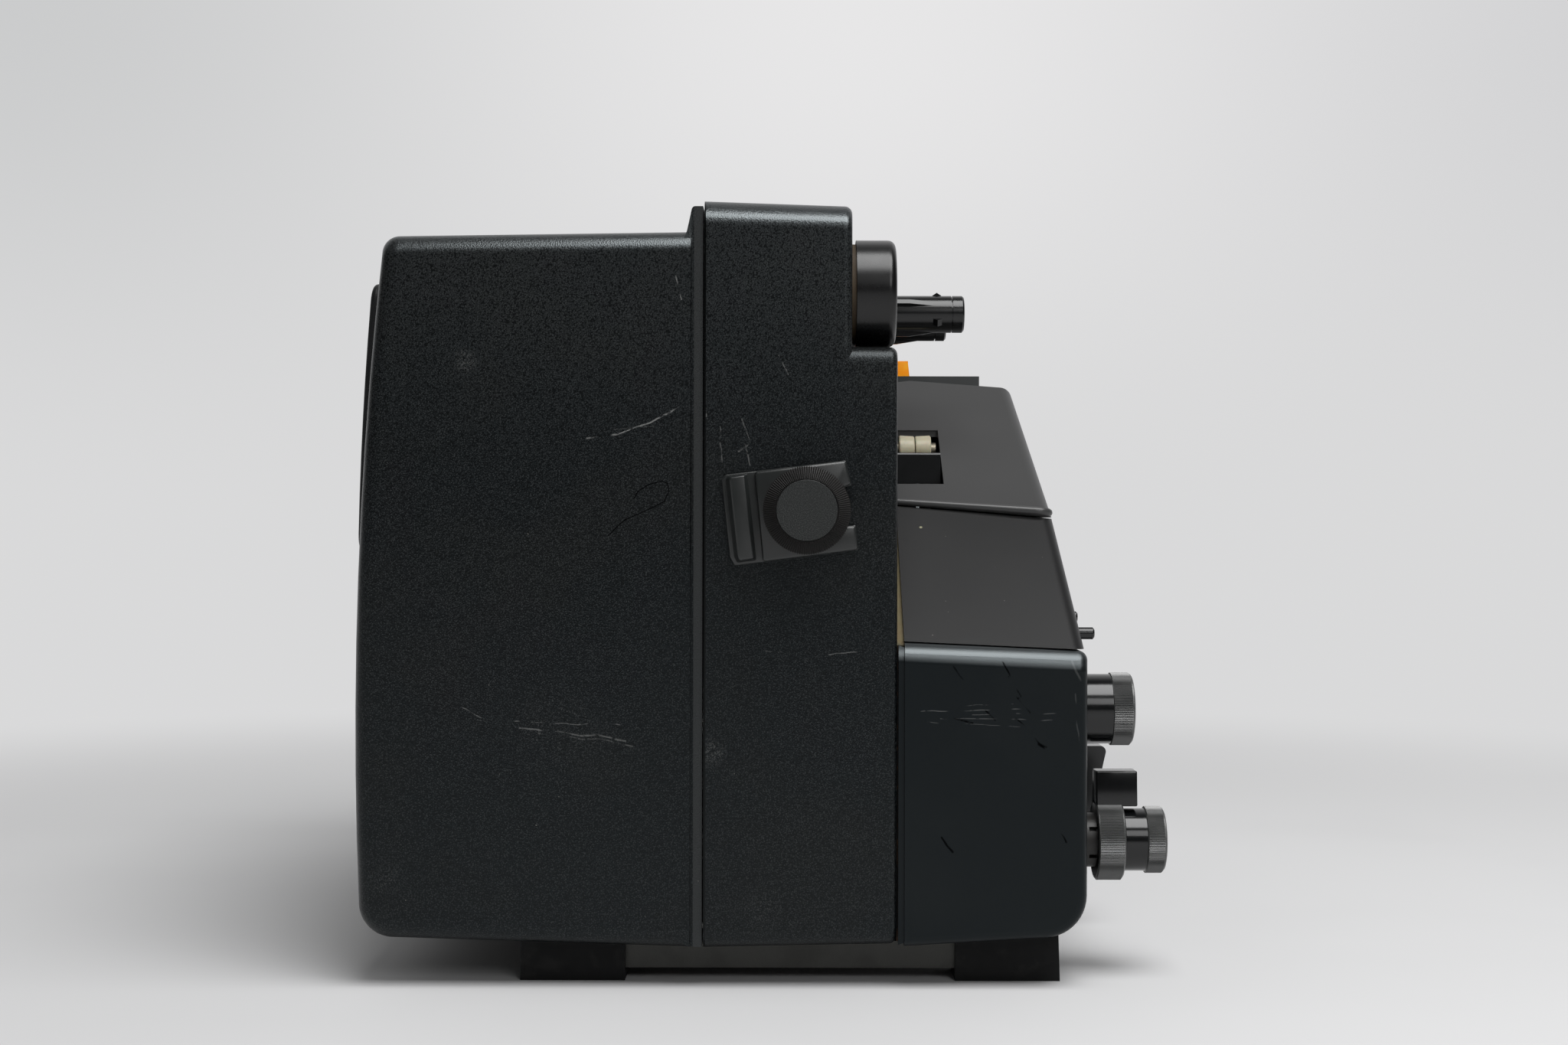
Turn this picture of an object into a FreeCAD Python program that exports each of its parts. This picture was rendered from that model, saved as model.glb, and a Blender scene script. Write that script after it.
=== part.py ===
import FreeCAD, Part
import math
import os
import re
import Sketcher

# A sound film projector for narrow film, in millimetres, standing on its feet at Z = 0.
# +X is the operator's side with the film path and the knobs, -Y the rear end with the
# take-up arm and the clamp bracket, +Y the lens end, and Z is up. Most pieces are drawn in
# case coordinates, where Y counts from the rear end plane of the case, and are then moved
# back by rear_face. Turned pieces are drawn on their own axis and placed on it.

SIZES = {
    # Case as a whole
    "case_length": 305,         # rear end plane to front end plane
    "rear_face": 157,           # origin to the rear end plane
    "wall": 2.5,                # moulded walls
    "seam": 0.4,                # dark joint line between the mouldings
    "end_round": 5.5,             # rounding where the end planes meet the sides
    "fit_gap": 0.3,             # air round a piece that moves
    "bearing_gap": 0.08,        # radial play of a shaft in its hole
    # Main body, the tall grained middle moulding
    "spine_left": 16,           # joint with the rear cover, left of the origin
    "spine_right": 43,        # joint with the chassis plate
    "ridge_right": 29.1,        # right side of the raised top
    "floor_gap": 12,            # underside above the table, at the joint with the cover
    "floor_rise": 1.2,          # the underside rises this much towards the right
    "top_height": 240.3,
    "ledge_drop": 44.5,         # depth of the notch in which the arms lie
    "top_fall": 1.5,            # the top falls this much towards the right
    "ridge_round": 2.3,
    # Rear cover, the wide grained moulding with the bulging side
    "cover_foot": 121.1,        # lower end of the bulging side, left of the origin
    "cover_foot_height": 15.1,
    "cover_shoulder": 114.2,    # upper end of the bulging side
    "cover_shoulder_height": 229.4,
    "cover_top_height": 230.9,
    "bulge_radius": 1290,
    "cover_foot_round": 10.7,
    "cover_top_round": 5.5,
    "flange_thick": 3.3,
    "flange_drop": 2,         # flange top below the main body's top
    "flange_round": 1.2,
    "flange_lean": 1.6,         # the strip is this much wider where it leaves the roof
    "flange_back": 1,           # joint strips lie this far inside the end planes
    "flange_up": 0.6,           # and this far inside the undersides
    # Louvred panel on the bulging side
    "grille_face": 130.1,       # foot of its outer face, left of the origin
    "grille_lean": 4.4,         # the face comes in this much at its top
    "grille_start": 45,
    "grille_length": 130,
    "grille_bottom": 132,
    "grille_height": 87.7,
    "grille_skin": 2.2,
    "grille_corner": 6,
    "louvre_count": 8,
    "louvre_gap": 4,
    "louvre_pitch": 8.6,
    "louvre_margin": 11,
    "louvre_rise": 4,           # the slats slope up inwards
    "grille_round": 1.5,
    # Speaker slots in the bulging side
    "speaker_y": 240,
    "speaker_height": 120,
    "speaker_radius": 35,
    "speaker_depth": 24,
    "speaker_rim": 117.3,       # front rim, left of the origin
    "slot_count": 9,
    "slot_width": 3,
    "slot_pitch": 6.5,
    "slot_tall": 46,
    # Chassis plate
    "plate_thick": 2.3,
    "plate_foot": 14.2,
    "plate_back": 2.4,          # the plate's edge lies this far inside the covers
    # Control housing, the smooth lower moulding
    "housing_right": 101.1,
    "housing_foot_in": 12.8,
    "housing_foot_out": 16.2,
    "housing_top_in": 105.3,
    "housing_top_out": 103,
    "housing_foot_round": 13,
    "housing_round": 3,
    # Film covers: each leaning face is given by its foot, run and rise
    "draft_in": 4.6,              # side wall comes in over the lower cover
    "lean_foot": 3.3,
    "lean_foot_height": 104.5,
    "lower_run": 46.7,
    "lower_rise": 39.3,
    "lip_out": 143.8,           # joint of the two covers at the outer wall
    "lip_fall": 4.1,            # the joint falls this much outwards
    "upper_run": 71.8,
    "upper_rise": 46.6,
    "lip_step": 0.7,            # upper face stands proud of the lower one
    "scoop_wide": 14,           # the roof falls towards the plate, beside the film inlet
    "scoop_deep": 1.7,
    "scoop_long": 16,
    "upper_draft": 6.8,
    "roof_out": 190.4,
    "roof_fall": 3.6,
    "cover_round": 4.5,
    "deck_start": 200,          # where the taller front part begins
    "deck_height": 200,
    "deck_thick": 4,
    "deck_width": 40.2,
    "deck_length": 50,
    "front_top_right": 88.9,
    "front_inset": 1,           # front face behind the front end plane
    # Opening for the film at the rear
    "notch_right": 61.8,
    "notch_start": 60,
    "notch_end": 96.8,
    "block_start": 76,
    "block_end": 86,
    "notch_bottom": 155,
    "notch_top": 174.2,
    "block_top": 165.8,
    # Film path
    "film_plane": 53.5,         # middle of the film, right of the origin
    "film_width": 8,
    "exit_y": 92,
    "exit_height": 167.2,
    "exit_roller_radius": 5,
    "exit_roller_waist": 4.1,
    "exit_roller_width": 5.5,
    "exit_shaft_radius": 1.5,
    "sprocket_y": 190,
    "sprocket_drop": 32.25,     # lower sprocket below the shutter that drives its wheel
    "upper_sprocket_y": 207,
    "upper_sprocket_height": 182.5,
    "sprocket_radius": 9.5,
    "sprocket_waist": 8.6,
    "sprocket_width": 10,
    "shaft_radius": 3,
    "drum_y": 130,
    "drum_height": 128,
    "drum_radius": 9,
    "flywheel_radius": 29,
    "flywheel_thick": 8,
    "flywheel_x": 29,
    "guide_width": 9.6,
    "guide_y": 214,
    "guide_length": 16,
    "guide_tall": 6.5,
    "guide_taper": 1.2,
    "film_slot": 4.4,           # length of the slot that takes the film down
    # Light path
    "lens_height": 150,
    "lens_radius": 14,
    "lens_bore": 11.5,
    "lens_clear": 4.5,          # air between gate and lens when the lens is furthest in
    "lens_length": 83.5,
    "lens_travel": 3,
    "glass_thick": 3,
    "holder_radius": 16.3,
    "holder_start": 249,
    "zoom_radius": 17,
    "zoom_start": 309,
    "zoom_width": 13,
    "focus_y": 264,
    "focus_drop": 0.6,          # play between pinion and barrel
    "pinion_radius": 3.5,
    "focus_radius": 9.5,
    "focus_width": 12,
    "focus_x": 95.2,
    "gate_y": 238,
    "gate_thick": 2,
    "gate_tall": 50,
    "aperture_width": 5.8,
    "aperture_tall": 4.2,
    "film_gap": 0.6,
    "mirror_y": 215,
    "mirror_size": 20,
    "mirror_thick": 2,
    "light_window": 8,
    "lamp_front": 2,
    "lamp_depth": 32,
    "lamp_radius": 25,
    "lamp_neck": 9,
    # Drive
    "shutter_y": 183,
    "shutter_height": 150,
    "shutter_radius": 38,
    "shutter_x": 24,
    "shutter_thick": 1.2,
    "shutter_blades": 3,
    "main_pulley_radius": 22,
    "belt_plane": 12,
    "belt_width": 5,
    "belt_thick": 1.5,
    "shutter_pinion": 5,
    "tooth_play": 0.3,
    "gear_x": 36,
    "gear_thick": 4.5,
    "gear_teeth": 40,
    "tooth_deep": 1.6,
    "sprocket_pulley_radius": 6.5,
    "sprocket_belt_plane": 28.5,
    "motor_y": 75,
    "motor_height": 60,
    "motor_radius": 27,
    "motor_left": 60,
    "motor_length": 56,
    "motor_shaft_radius": 2.5,
    "motor_pulley_radius": 8,
    "fan_radius": 36,
    "fan_left": 94,
    "fan_width": 26,
    "fan_blades": 16,
    # Inside
    "tray_height": 17.8,
    "tray_thick": 1.5,
    "tray_left": 108,
    "transformer_left": 104,
    "transformer_width": 52,
    "transformer_y": 205,
    "transformer_length": 60,
    "transformer_tall": 58,
    "board_x": 70,
    "board_thick": 1.6,
    "board_low": 24,
    "board_tall": 74,
    # Arms and reel spindles
    "arm_pivot": 17.4,          # pivot axis to the end plane
    "arm_drop": 27,           # pivot axis below the top of the main body
    "arm_boss": 16.6,
    "arm_tip": 10.5,
    "arm_thick": 12.3,
    "arm_round": 2.4,
    "arm_base_thick": 1.4,
    "arm_base_radius": 15.4,
    "arm_stub": 5,
    "take_up_reach": 66.6,
    "take_up_drop": -0.1,
    "supply_reach": 119.4,
    "supply_rise": 4.3,
    "spindle_radius": 6.3,
    "spindle_length": 26.7,
    "spindle_cap": 4.3,
    "spindle_round": 0.6,
    "rib_count": 3,
    "rib_length": 16,
    "rib_wide": 1.6,
    "rib_proud": 1.3,
    "detent_at": 17.5,
    "detent_radius": 3,
    "detent_proud": 1,
    "detent_wide": 2.4,
    # Knobs on the operator's side
    "knob_y": 27,
    "volume_height": 83.3,
    "volume_radius": 11,
    "volume_barrel": 10,
    "volume_grip_radius": 11.5,
    "volume_grip": 7,
    "selector_height": 42,
    "bushing_radius": 8.6,
    "bushing_neck": 7,
    "bushing_slots": 6,
    "sleeve_radius": 5,
    "selector_radius": 12.7,
    "selector_start": 5.6,
    "selector_width": 8.4,
    "lever_reach": 22,
    "lever_width": 10,
    "lever_long": 13,
    "balance_radius": 9.8,
    "balance_barrel": 7,
    "balance_grip_radius": 10.5,
    "balance_grip": 6.2,
    "dial_y": 110,
    "dial_height": 44,
    "dial_radius": 20,
    "dial_base": 8,
    "dial_proud": 21.4,
    "dial_low": 13,
    "dial_bar": 9,
    "knurl_count": 36,
    "knurl_deep": 0.7,
    "pot_radius": 8,
    # Push pins on the lower film cover
    "pin_radius": 1.9,
    "pin_rest": 2.5,            # what stays outside when the pin is pressed in
    "pin_travel": 2.5,
    "rear_pin_y": 20.3,
    "rear_pin_height": 107.5,
    "front_pin_y": 56.8,
    "front_pin_height": 111,
    # Sockets
    "jack_y": 215,
    "jack_height": 42,
    "jack_pitch": 20,
    "jack_count": 4,
    "jack_bore": 3.2,
    "jack_radius": 5,
    "jack_nut": 6.8,
    "inlet_x": 84,
    "inlet_height": 34,
    "inlet_width": 28,
    "inlet_tall": 20,
    "inlet_depth": 22,
    # Feet
    "foot_depth": 18,
    "foot_width": 32,
    "foot_left": 72.6,
    "foot_right": 93.7,
    "foot_inset": 13,
    "foot_flare": 0.5,          # outer sides stand out this much at the table
    "bar_low": 3.6,
    "bar_depth": 14,
    "tilt_x": 12,
    "tilt_radius": 11,
    "tilt_stem": 4,
    "tilt_travel": 18,
    "tilt_hold": 10,            # length of stem still held when the foot is screwed out
    "tilt_pad": 3.4,
    # Carrying handle in the ridge
    "handle_left": 3,
    "handle_width": 20,
    "handle_start": 72,
    "handle_length": 161,
    "handle_thick": 9,
    "handle_leg": 6,
    "handle_leg_width": 10,
    "handle_well": 16,
    "handle_round": 3,
    "handle_lift": 26,
    # Clamp bracket on the rear end
    "clamp_x": 15.2,
    "clamp_height": 145.6,
    "clamp_turn": 7.8,
    "bracket_width": 38.3,
    "bracket_tall": 27.3,
    "bracket_thick": 5,
    "bracket_edge": 0.5,
    "bracket_offset": 24.2,     # left edge to the stud axis
    "bracket_slot": 12.3,
    "rib_start": 3.4,
    "rib_end": 6.6,
    "groove_end": 9.8,
    "groove_deep": 1,
    "clamp_radius": 13.3,
    "clamp_face": 9.2,
    "clamp_reach": 17,
    "clamp_thick": 9,
    "clamp_bevel": 2.6,
    "clamp_ribs": 60,
    "stud_radius": 3,
    "stud_hold": 10,
}

doc = FreeCAD.newDocument("sound_film_projector")
sheet = doc.addObject("Spreadsheet::Sheet", "Sizes")
for row, (alias, amount) in enumerate(SIZES.items(), 1):
    sheet.set(f"A{row}", alias)
    sheet.set(f"B{row}", str(amount))
    sheet.setAlias(f"B{row}", alias)
doc.recompute()

# Turns that lay a piece drawn along Z onto another axis
ALONG_X = FreeCAD.Rotation(FreeCAD.Vector(0, 1, 0), 90)
ALONG_Y = FreeCAD.Rotation(FreeCAD.Vector(1, 0, 0), -90)
ALONG_MINUS_Y = FreeCAD.Rotation(FreeCAD.Vector(1, 0, 0), 90)
ALONG_Z = FreeCAD.Rotation()

SNAP = 0.06     # how near an edge must lie to the place where it is looked for

nodes = []


def named(text):
    """The same expression with every size looked up in the sheet."""
    return re.sub(r"\b[a-z]\w*\b(?!\()", lambda word: "Sizes." + word.group(0), text)


def number(text):
    """Present value of an expression in the named sizes."""
    amount = sheet.evalExpression(named(text))
    return float(getattr(amount, "Value", amount))


def bind(feature, prop, text):
    """Tie a property to the sheet."""
    feature.setExpression(prop, named(text))


def place(piece, x, y, z, turn=None):
    """Put a piece at a point in case coordinates, which follows the sheet."""
    if turn:
        piece.Placement = FreeCAD.Placement(FreeCAD.Vector(), turn)
    bind(piece, "Placement.Base.x", x)
    bind(piece, "Placement.Base.y", f"{y} - rear_face")
    bind(piece, "Placement.Base.z", z)


def node(piece, label):
    """A finished sub-part under its own name."""
    piece.Label = label
    nodes.append(piece)
    return piece


def new_body(label, x="0", y="0", z="0", turn=None):
    body = doc.addObject("PartDesign::Body", label)
    place(body, x, y, z, turn)
    return body


def origin(body, role):
    return [item for item in body.Origin.OriginFeatures if item.Role == role][0]


def sketch_on(body, plane, start):
    sketch = body.newObject("Sketcher::SketchObject", "sketch")
    sketch.AttachmentSupport = (origin(body, plane + "_Plane"), [""])
    sketch.MapMode = "FlatFace"
    sign = "-1 * " if plane == "XZ" else ""
    bind(sketch, "AttachmentOffset.Base.z", f"{sign}({start})")
    return sketch


def fix_point(rules, geometry, end, name, x, y):
    """Rules that hold one point of a sketch at two bound distances."""
    bindings = []
    for text, kind, axis, prefix in ((x, "DistanceX", -2, "x"), (y, "DistanceY", -1, "y")):
        if text == "0":
            rules.append(Sketcher.Constraint("PointOnObject", geometry, end, axis))
            continue
        rule = Sketcher.Constraint(kind, -1, 1, geometry, end, number(text))
        rule.Name = prefix + name
        rules.append(rule)
        bindings.append((prefix + name, text))
    return bindings


def outline(body, plane, start, points, arcs=None):
    """Closed sketch through bound points, anticlockwise; arcs bulge outwards."""
    arcs = arcs or {}
    sketch = sketch_on(body, plane, start)
    corners = [FreeCAD.Vector(number(x), number(y), 0) for x, y in points]
    count = len(corners)
    edges = []
    for index, corner in enumerate(corners):
        after = corners[(index + 1) % count]
        if index in arcs:
            radius = number(arcs[index])
            chord = after - corner
            outward = FreeCAD.Vector(chord.y, -chord.x, 0).normalize()
            bulge = radius - math.sqrt(radius ** 2 - (chord.Length / 2) ** 2)
            edges.append(Part.Arc(corner, corner + chord / 2 + outward * bulge, after))
        else:
            edges.append(Part.LineSegment(corner, after))
    sketch.addGeometry(edges, False)
    rules = []
    bindings = []
    for index, (x, y) in enumerate(points):
        rules.append(Sketcher.Constraint("Coincident", index, 2, (index + 1) % count, 1))
        bindings += fix_point(rules, index, 1, str(index), x, y)
        if index in arcs:
            rule = Sketcher.Constraint("Radius", index, number(arcs[index]))
            rule.Name = f"bulge{index}"
            rules.append(rule)
            bindings.append((rule.Name, arcs[index]))
    sketch.addConstraint(rules)
    for name, text in bindings:
        bind(sketch, "Constraints." + name, text)
    return sketch


def extrude(body, plane, start, length, points, arcs=None):
    """Pad from start, along the positive axis that is square to the plane."""
    sketch = outline(body, plane, start, points, arcs)
    pad = body.newObject("PartDesign::Pad", "pad")
    pad.Profile = sketch
    pad.Reversed = plane == "XZ"
    bind(pad, "Length", length)
    doc.recompute()
    return pad


def pocket(body, plane, start, length, points, arcs=None):
    """Pocket from start along the positive axis; it must remove something."""
    before = body.Shape.Volume
    sketch = outline(body, plane, start, points, arcs)
    feature = body.newObject("PartDesign::Pocket", "pocket")
    feature.Profile = sketch
    feature.Reversed = plane != "XZ"
    bind(feature, "Length", length)
    doc.recompute()
    if body.Shape.Volume > before - 0.01:
        raise RuntimeError("pocket removes nothing in " + body.Label)
    return feature


def revolve(body, points):
    """Turned solid about the body's own Z axis from a half profile of radius and height."""
    sketch = outline(body, "XZ", "0", points)
    turned = body.newObject("PartDesign::Revolution", "turned")
    turned.Profile = sketch
    turned.ReferenceAxis = (sketch, ["V_Axis"])
    turned.Angle = 360
    doc.recompute()
    return turned


def edges_within(shape, where, along=None):
    """Names of the edges inside the given spans; a span is one value or a low and a high one."""
    found = []
    for index, edge in enumerate(shape.Edges, 1):
        room = edge.BoundBox
        reach = {"x": (room.XMin, room.XMax), "y": (room.YMin, room.YMax),
                 "z": (room.ZMin, room.ZMax)}
        longest = max(reach, key=lambda axis: reach[axis][1] - reach[axis][0])
        inside = along in (None, longest)
        for axis, span in where.items():
            low, high = (span, span) if isinstance(span, str) else span
            inside &= reach[axis][0] > number(low) - SNAP and reach[axis][1] < number(high) + SNAP
        if inside:
            found.append(f"Edge{index}")
    return found


def round_off(body, radius, *places, along=None, kind="Fillet", apart_from=None):
    """Fillet or chamfer on the edges found inside each of the given places."""
    tip = body.Tip
    names = []
    left_out = edges_within(tip.Shape, apart_from) if apart_from else []
    for where in places:
        found = [name for name in edges_within(tip.Shape, where, along) if name not in left_out]
        if not found:
            raise RuntimeError(f"no edge at {where} in {body.Label}")
        names += [name for name in found if name not in names]
    rounding = body.newObject("PartDesign::" + kind, kind.lower())
    rounding.Base = (tip, names)
    bind(rounding, "Radius" if kind == "Fillet" else "Size", radius)
    doc.recompute()
    if "Invalid" in rounding.State:
        raise RuntimeError(f"{kind} failed in {body.Label}: {names}")
    return rounding


def box(x, y, z, length, width, height):
    """Block in case coordinates."""
    piece = doc.addObject("Part::Box", "block")
    bind(piece, "Length", length)
    bind(piece, "Width", width)
    bind(piece, "Height", height)
    place(piece, x, y, z)
    return piece


def rod(radius, length, x, y, z, turn=ALONG_X):
    """Round bar in case coordinates; it starts at the point and runs along its axis."""
    piece = doc.addObject("Part::Cylinder", "bar")
    bind(piece, "Radius", radius)
    bind(piece, "Height", length)
    place(piece, x, y, z, turn)
    return piece


def joined(pieces):
    fused = doc.addObject("Part::MultiFuse", "joined")
    fused.Shapes = pieces
    doc.recompute()
    return fused


def grouped(pieces):
    """Separate solids that share one sub-part."""
    group = doc.addObject("Part::Compound", "group")
    group.Links = pieces
    doc.recompute()
    return group


def cut(base, *tools):
    """Base less its tools; each tool must remove something."""
    doc.recompute()
    piece = base
    for tool in tools:
        before = piece.Shape.Volume
        result = doc.addObject("Part::Cut", "cut")
        result.Base = piece
        result.Tool = tool
        doc.recompute()
        if result.Shape.Volume > before - 0.001:
            raise RuntimeError("a cut removes nothing")
        piece = result
    return piece


def hollow(body, *directions):
    """Shell with moulded walls, open on the faces that look in the given directions."""
    tip = body.Tip
    names = []
    for index, face in enumerate(tip.Shape.Faces, 1):
        first, last, low, high = face.ParameterRange
        normal = face.normalAt((first + last) / 2, (low + high) / 2)
        if any(normal.dot(FreeCAD.Vector(*way)) > 0.97 for way in directions):
            names.append(f"Face{index}")
    before = tip.Shape.Volume
    shell = body.newObject("PartDesign::Thickness", "shell")
    shell.Base = (tip, names)
    shell.Mode = 0
    shell.Join = 1
    shell.Reversed = True
    bind(shell, "Value", "wall")
    doc.recompute()
    if not 0 < body.Shape.Volume < before:
        raise RuntimeError("hollowing failed in " + body.Label)
    return shell


def repeat(body, features, count):
    """Copies of features round the body's own Z axis."""
    pattern = body.newObject("PartDesign::PolarPattern", "around")
    pattern.Originals = features
    pattern.Axis = (origin(body, "Z_Axis"), [""])
    pattern.Angle = 360
    bind(pattern, "Occurrences", count)
    body.Tip = pattern
    doc.recompute()
    return pattern


def tangent_loop(body, plane, start, near, far):
    """Sketch of two round ends joined by straight sides; each end is x, y and radius."""
    sketch = sketch_on(body, plane, start)
    ends = [tuple(number(text) for text in end) for end in (near, far)]
    (x1, y1, r1), (x2, y2, r2) = ends
    first = FreeCAD.Vector(x1, y1, 0)
    second = FreeCAD.Vector(x2, y2, 0)
    heading = math.atan2(y2 - y1, x2 - x1)
    spread = math.acos((r1 - r2) / first.distanceToPoint(second))

    def on(centre, radius, angle):
        return centre + FreeCAD.Vector(math.cos(angle), math.sin(angle), 0) * radius

    left, right = heading + spread, heading - spread
    sketch.addGeometry([
        Part.Arc(on(first, r1, left), on(first, r1, heading + math.pi), on(first, r1, right)),
        Part.LineSegment(on(first, r1, right), on(second, r2, right)),
        Part.Arc(on(second, r2, right), on(second, r2, heading), on(second, r2, left)),
        Part.LineSegment(on(second, r2, left), on(first, r1, left)),
    ], False)
    rules = [Sketcher.Constraint("Tangent", index, 2, (index + 1) % 4, 1) for index in range(4)]
    bindings = []
    for geometry, end, name in ((0, near, "near"), (2, far, "far")):
        bindings += fix_point(rules, geometry, 3, name, end[0], end[1])
        rule = Sketcher.Constraint("Radius", geometry, number(end[2]))
        rule.Name = "round" + name
        rules.append(rule)
        bindings.append((rule.Name, end[2]))
    sketch.addConstraint(rules)
    for name, text in bindings:
        bind(sketch, "Constraints." + name, text)
    return sketch


def pad_loop(body, plane, start, length, near, far):
    pad = body.newObject("PartDesign::Pad", "pad")
    pad.Profile = tangent_loop(body, plane, start, near, far)
    pad.Reversed = plane == "XZ"
    bind(pad, "Length", length)
    doc.recompute()
    return pad


def knurl(body, radius, start, length, count="knurl_count"):
    """Straight grooves round a grip."""
    half = "3.1 * knurl_deep / 4"
    groove = pocket(body, "XY", start, length, [
        (f"{radius} - knurl_deep", "0"),
        (f"{radius} + knurl_deep / 4", f"-{half}"),
        (f"{radius} + knurl_deep / 4", half),
    ])
    repeat(body, [groove], count)


def belt(start, near, far, label):
    """Flat belt round two pulleys; each end is y, z and the pulley's radius."""
    body = new_body("belt")
    grown = [(y, z, f"{radius} + tooth_play + belt_thick") for y, z, radius in (near, far)]
    inner = [(y, z, f"{radius} + tooth_play") for y, z, radius in (near, far)]
    pad_loop(body, "YZ", start, "belt_width", *grown)
    hole = body.newObject("PartDesign::Pocket", "inside")
    hole.Profile = tangent_loop(body, "YZ", start, *inner)
    hole.Reversed = True
    bind(hole, "Length", "belt_width")
    doc.recompute()
    node(body, label)


# Expressions that several sub-parts share
PLATE_FACE = "spine_right + plate_thick"
INNER_WALL = "housing_right - wall"
LIP_Y = "lean_foot + lower_run"
ROOF_Y = "lean_foot + lower_run + upper_run"
RIDGE_TOP = "top_height - top_fall"
ARM_HEIGHT = "top_height - arm_drop"
LEDGE_HEIGHT = "top_height - ledge_drop"
SPROCKET_HEIGHT = "shutter_height - sprocket_drop"
FLANGE_LEFT = "-spine_left - seam - flange_thick"
STRIP_END = "(flange_back + wall + bearing_gap)"
FRONT_FOOT = "case_length - foot_inset - foot_depth"
ARM_START = "ridge_right + arm_base_thick + bearing_gap"
ARM_FACE = ARM_START + " + arm_thick"
FOCUS_HEIGHT = "lens_height + lens_radius + focus_drop + pinion_radius"
LENS_START = "gate_y + gate_thick + lens_travel + lens_clear"
PIN_PROUD = "pin_travel + pin_rest"
TILT_SLEEVE = "tilt_travel + tilt_hold"
GEAR_RADIUS = ("sqrt((sprocket_y - shutter_y)^2 + sprocket_drop^2)"
               " - shutter_pinion - tooth_play")
ARMS = {
    "take_up": ("arm_pivot", "arm_pivot + take_up_reach", ARM_HEIGHT + " - take_up_drop"),
    "supply": ("case_length - arm_pivot", "case_length - arm_pivot - supply_reach",
               ARM_HEIGHT + " + supply_rise"),
}


def main_body():
    body = new_body("main_shell")
    extrude(body, "XZ", "0", "case_length", [
        ("-spine_left", "floor_gap"),
        ("spine_right", "floor_gap + floor_rise"),
        ("spine_right", LEDGE_HEIGHT),
        ("ridge_right", LEDGE_HEIGHT),
        ("ridge_right", RIDGE_TOP),
        ("-spine_left", "top_height"),
    ])
    round_off(body, "end_round", *[
        {"y": y, "z": z}
        for y in ("0", "case_length")
        for z in ((RIDGE_TOP, "top_height"), LEDGE_HEIGHT,
                  ("floor_gap", "floor_gap + floor_rise"))
    ])
    round_off(body, "ridge_round", {"x": "ridge_right", "z": RIDGE_TOP})
    round_off(body, "ridge_round", {"x": "spine_right", "z": LEDGE_HEIGHT})
    pocket(body, "XZ", "wall", "case_length - 2 * wall", [
        ("-spine_left - wall", "floor_gap + wall"),
        ("spine_right - wall", "floor_gap + floor_rise + wall"),
        ("spine_right - wall", LEDGE_HEIGHT + " - wall"),
        ("ridge_right - wall", LEDGE_HEIGHT + " - wall"),
        ("ridge_right - wall", RIDGE_TOP + " - wall"),
        ("-spine_left - wall", "top_height - wall"),
    ])
    pocket(body, "YZ", "spine_right - wall", "wall", [
        ("1.5 * wall", "tray_height - seam"),
        ("case_length - wall", "tray_height - seam"),
        ("case_length - wall", "roof_out - wall"),
        (ROOF_Y, "roof_out - wall"),
        (LIP_Y, "lip_out - 2 * wall"),
        ("1.5 * wall", "lean_foot_height - 2 * wall"),
    ])
    well_floor = "top_height - handle_well"
    tray = box("-handle_left - fit_gap - wall", "handle_start - fit_gap - wall",
               well_floor + " - wall", "handle_width + 2 * fit_gap + 2 * wall",
               "handle_length + 2 * fit_gap + 2 * wall", "handle_well")
    clamp_boss = rod("2 * stud_radius", "stud_hold", "clamp_x", "wall / 2", "clamp_height", ALONG_Y)
    tilt_y = FRONT_FOOT + " + foot_depth / 2"
    tilt_boss = rod("tilt_stem + wall", TILT_SLEEVE, "tilt_x", tilt_y, "floor_gap + wall / 2",
                    ALONG_Z)
    shell = joined([body, tray, clamp_boss, tilt_boss])
    well = box("-handle_left - fit_gap", "handle_start - fit_gap", well_floor,
               "handle_width + 2 * fit_gap", "handle_length + 2 * fit_gap", "2 * handle_well")
    slots = grouped([
        box("-handle_left + (handle_width - handle_leg_width) / 2 - fit_gap", f"{y} - fit_gap",
            well_floor + " - 2 * wall", "handle_leg_width + 2 * fit_gap",
            "handle_leg + 2 * fit_gap", "3 * wall")
        for y in handle_legs()
    ])
    pivots = grouped([
        rod("arm_stub + bearing_gap", "3 * wall", "ridge_right - 2 * wall", y, ARM_HEIGHT)
        for y, tip_y, tip_z in ARMS.values()
    ])
    lens_way = rod("lens_radius + 2 * fit_gap", "3 * wall", "film_plane",
                   "case_length - 2 * wall", "lens_height", ALONG_Y)
    stud_way = rod("stud_radius + bearing_gap", "2 * stud_hold", "clamp_x", "-wall",
                   "clamp_height", ALONG_Y)
    stem_way = rod("tilt_stem + bearing_gap", TILT_SLEEVE + " + 2 * wall", "tilt_x", tilt_y,
                   "floor_gap - wall / 2", ALONG_Z)
    node(cut(shell, well, slots, pivots, lens_way, stud_way, stem_way), "main_body")


def cover_floor(x):
    """Height of the rear cover's sloping underside at a distance left of the origin."""
    return (f"floor_gap + ({x} - spine_left - seam) * (cover_foot_height - floor_gap)"
            " / (cover_foot - spine_left - seam)")


def housing_floor(x):
    """Height of the control housing's sloping underside at a distance right of the origin."""
    return (f"housing_foot_in + ({x} - spine_right - plate_thick)"
            " * (housing_foot_out - housing_foot_in) / (housing_right - spine_right - plate_thick)")


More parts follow.
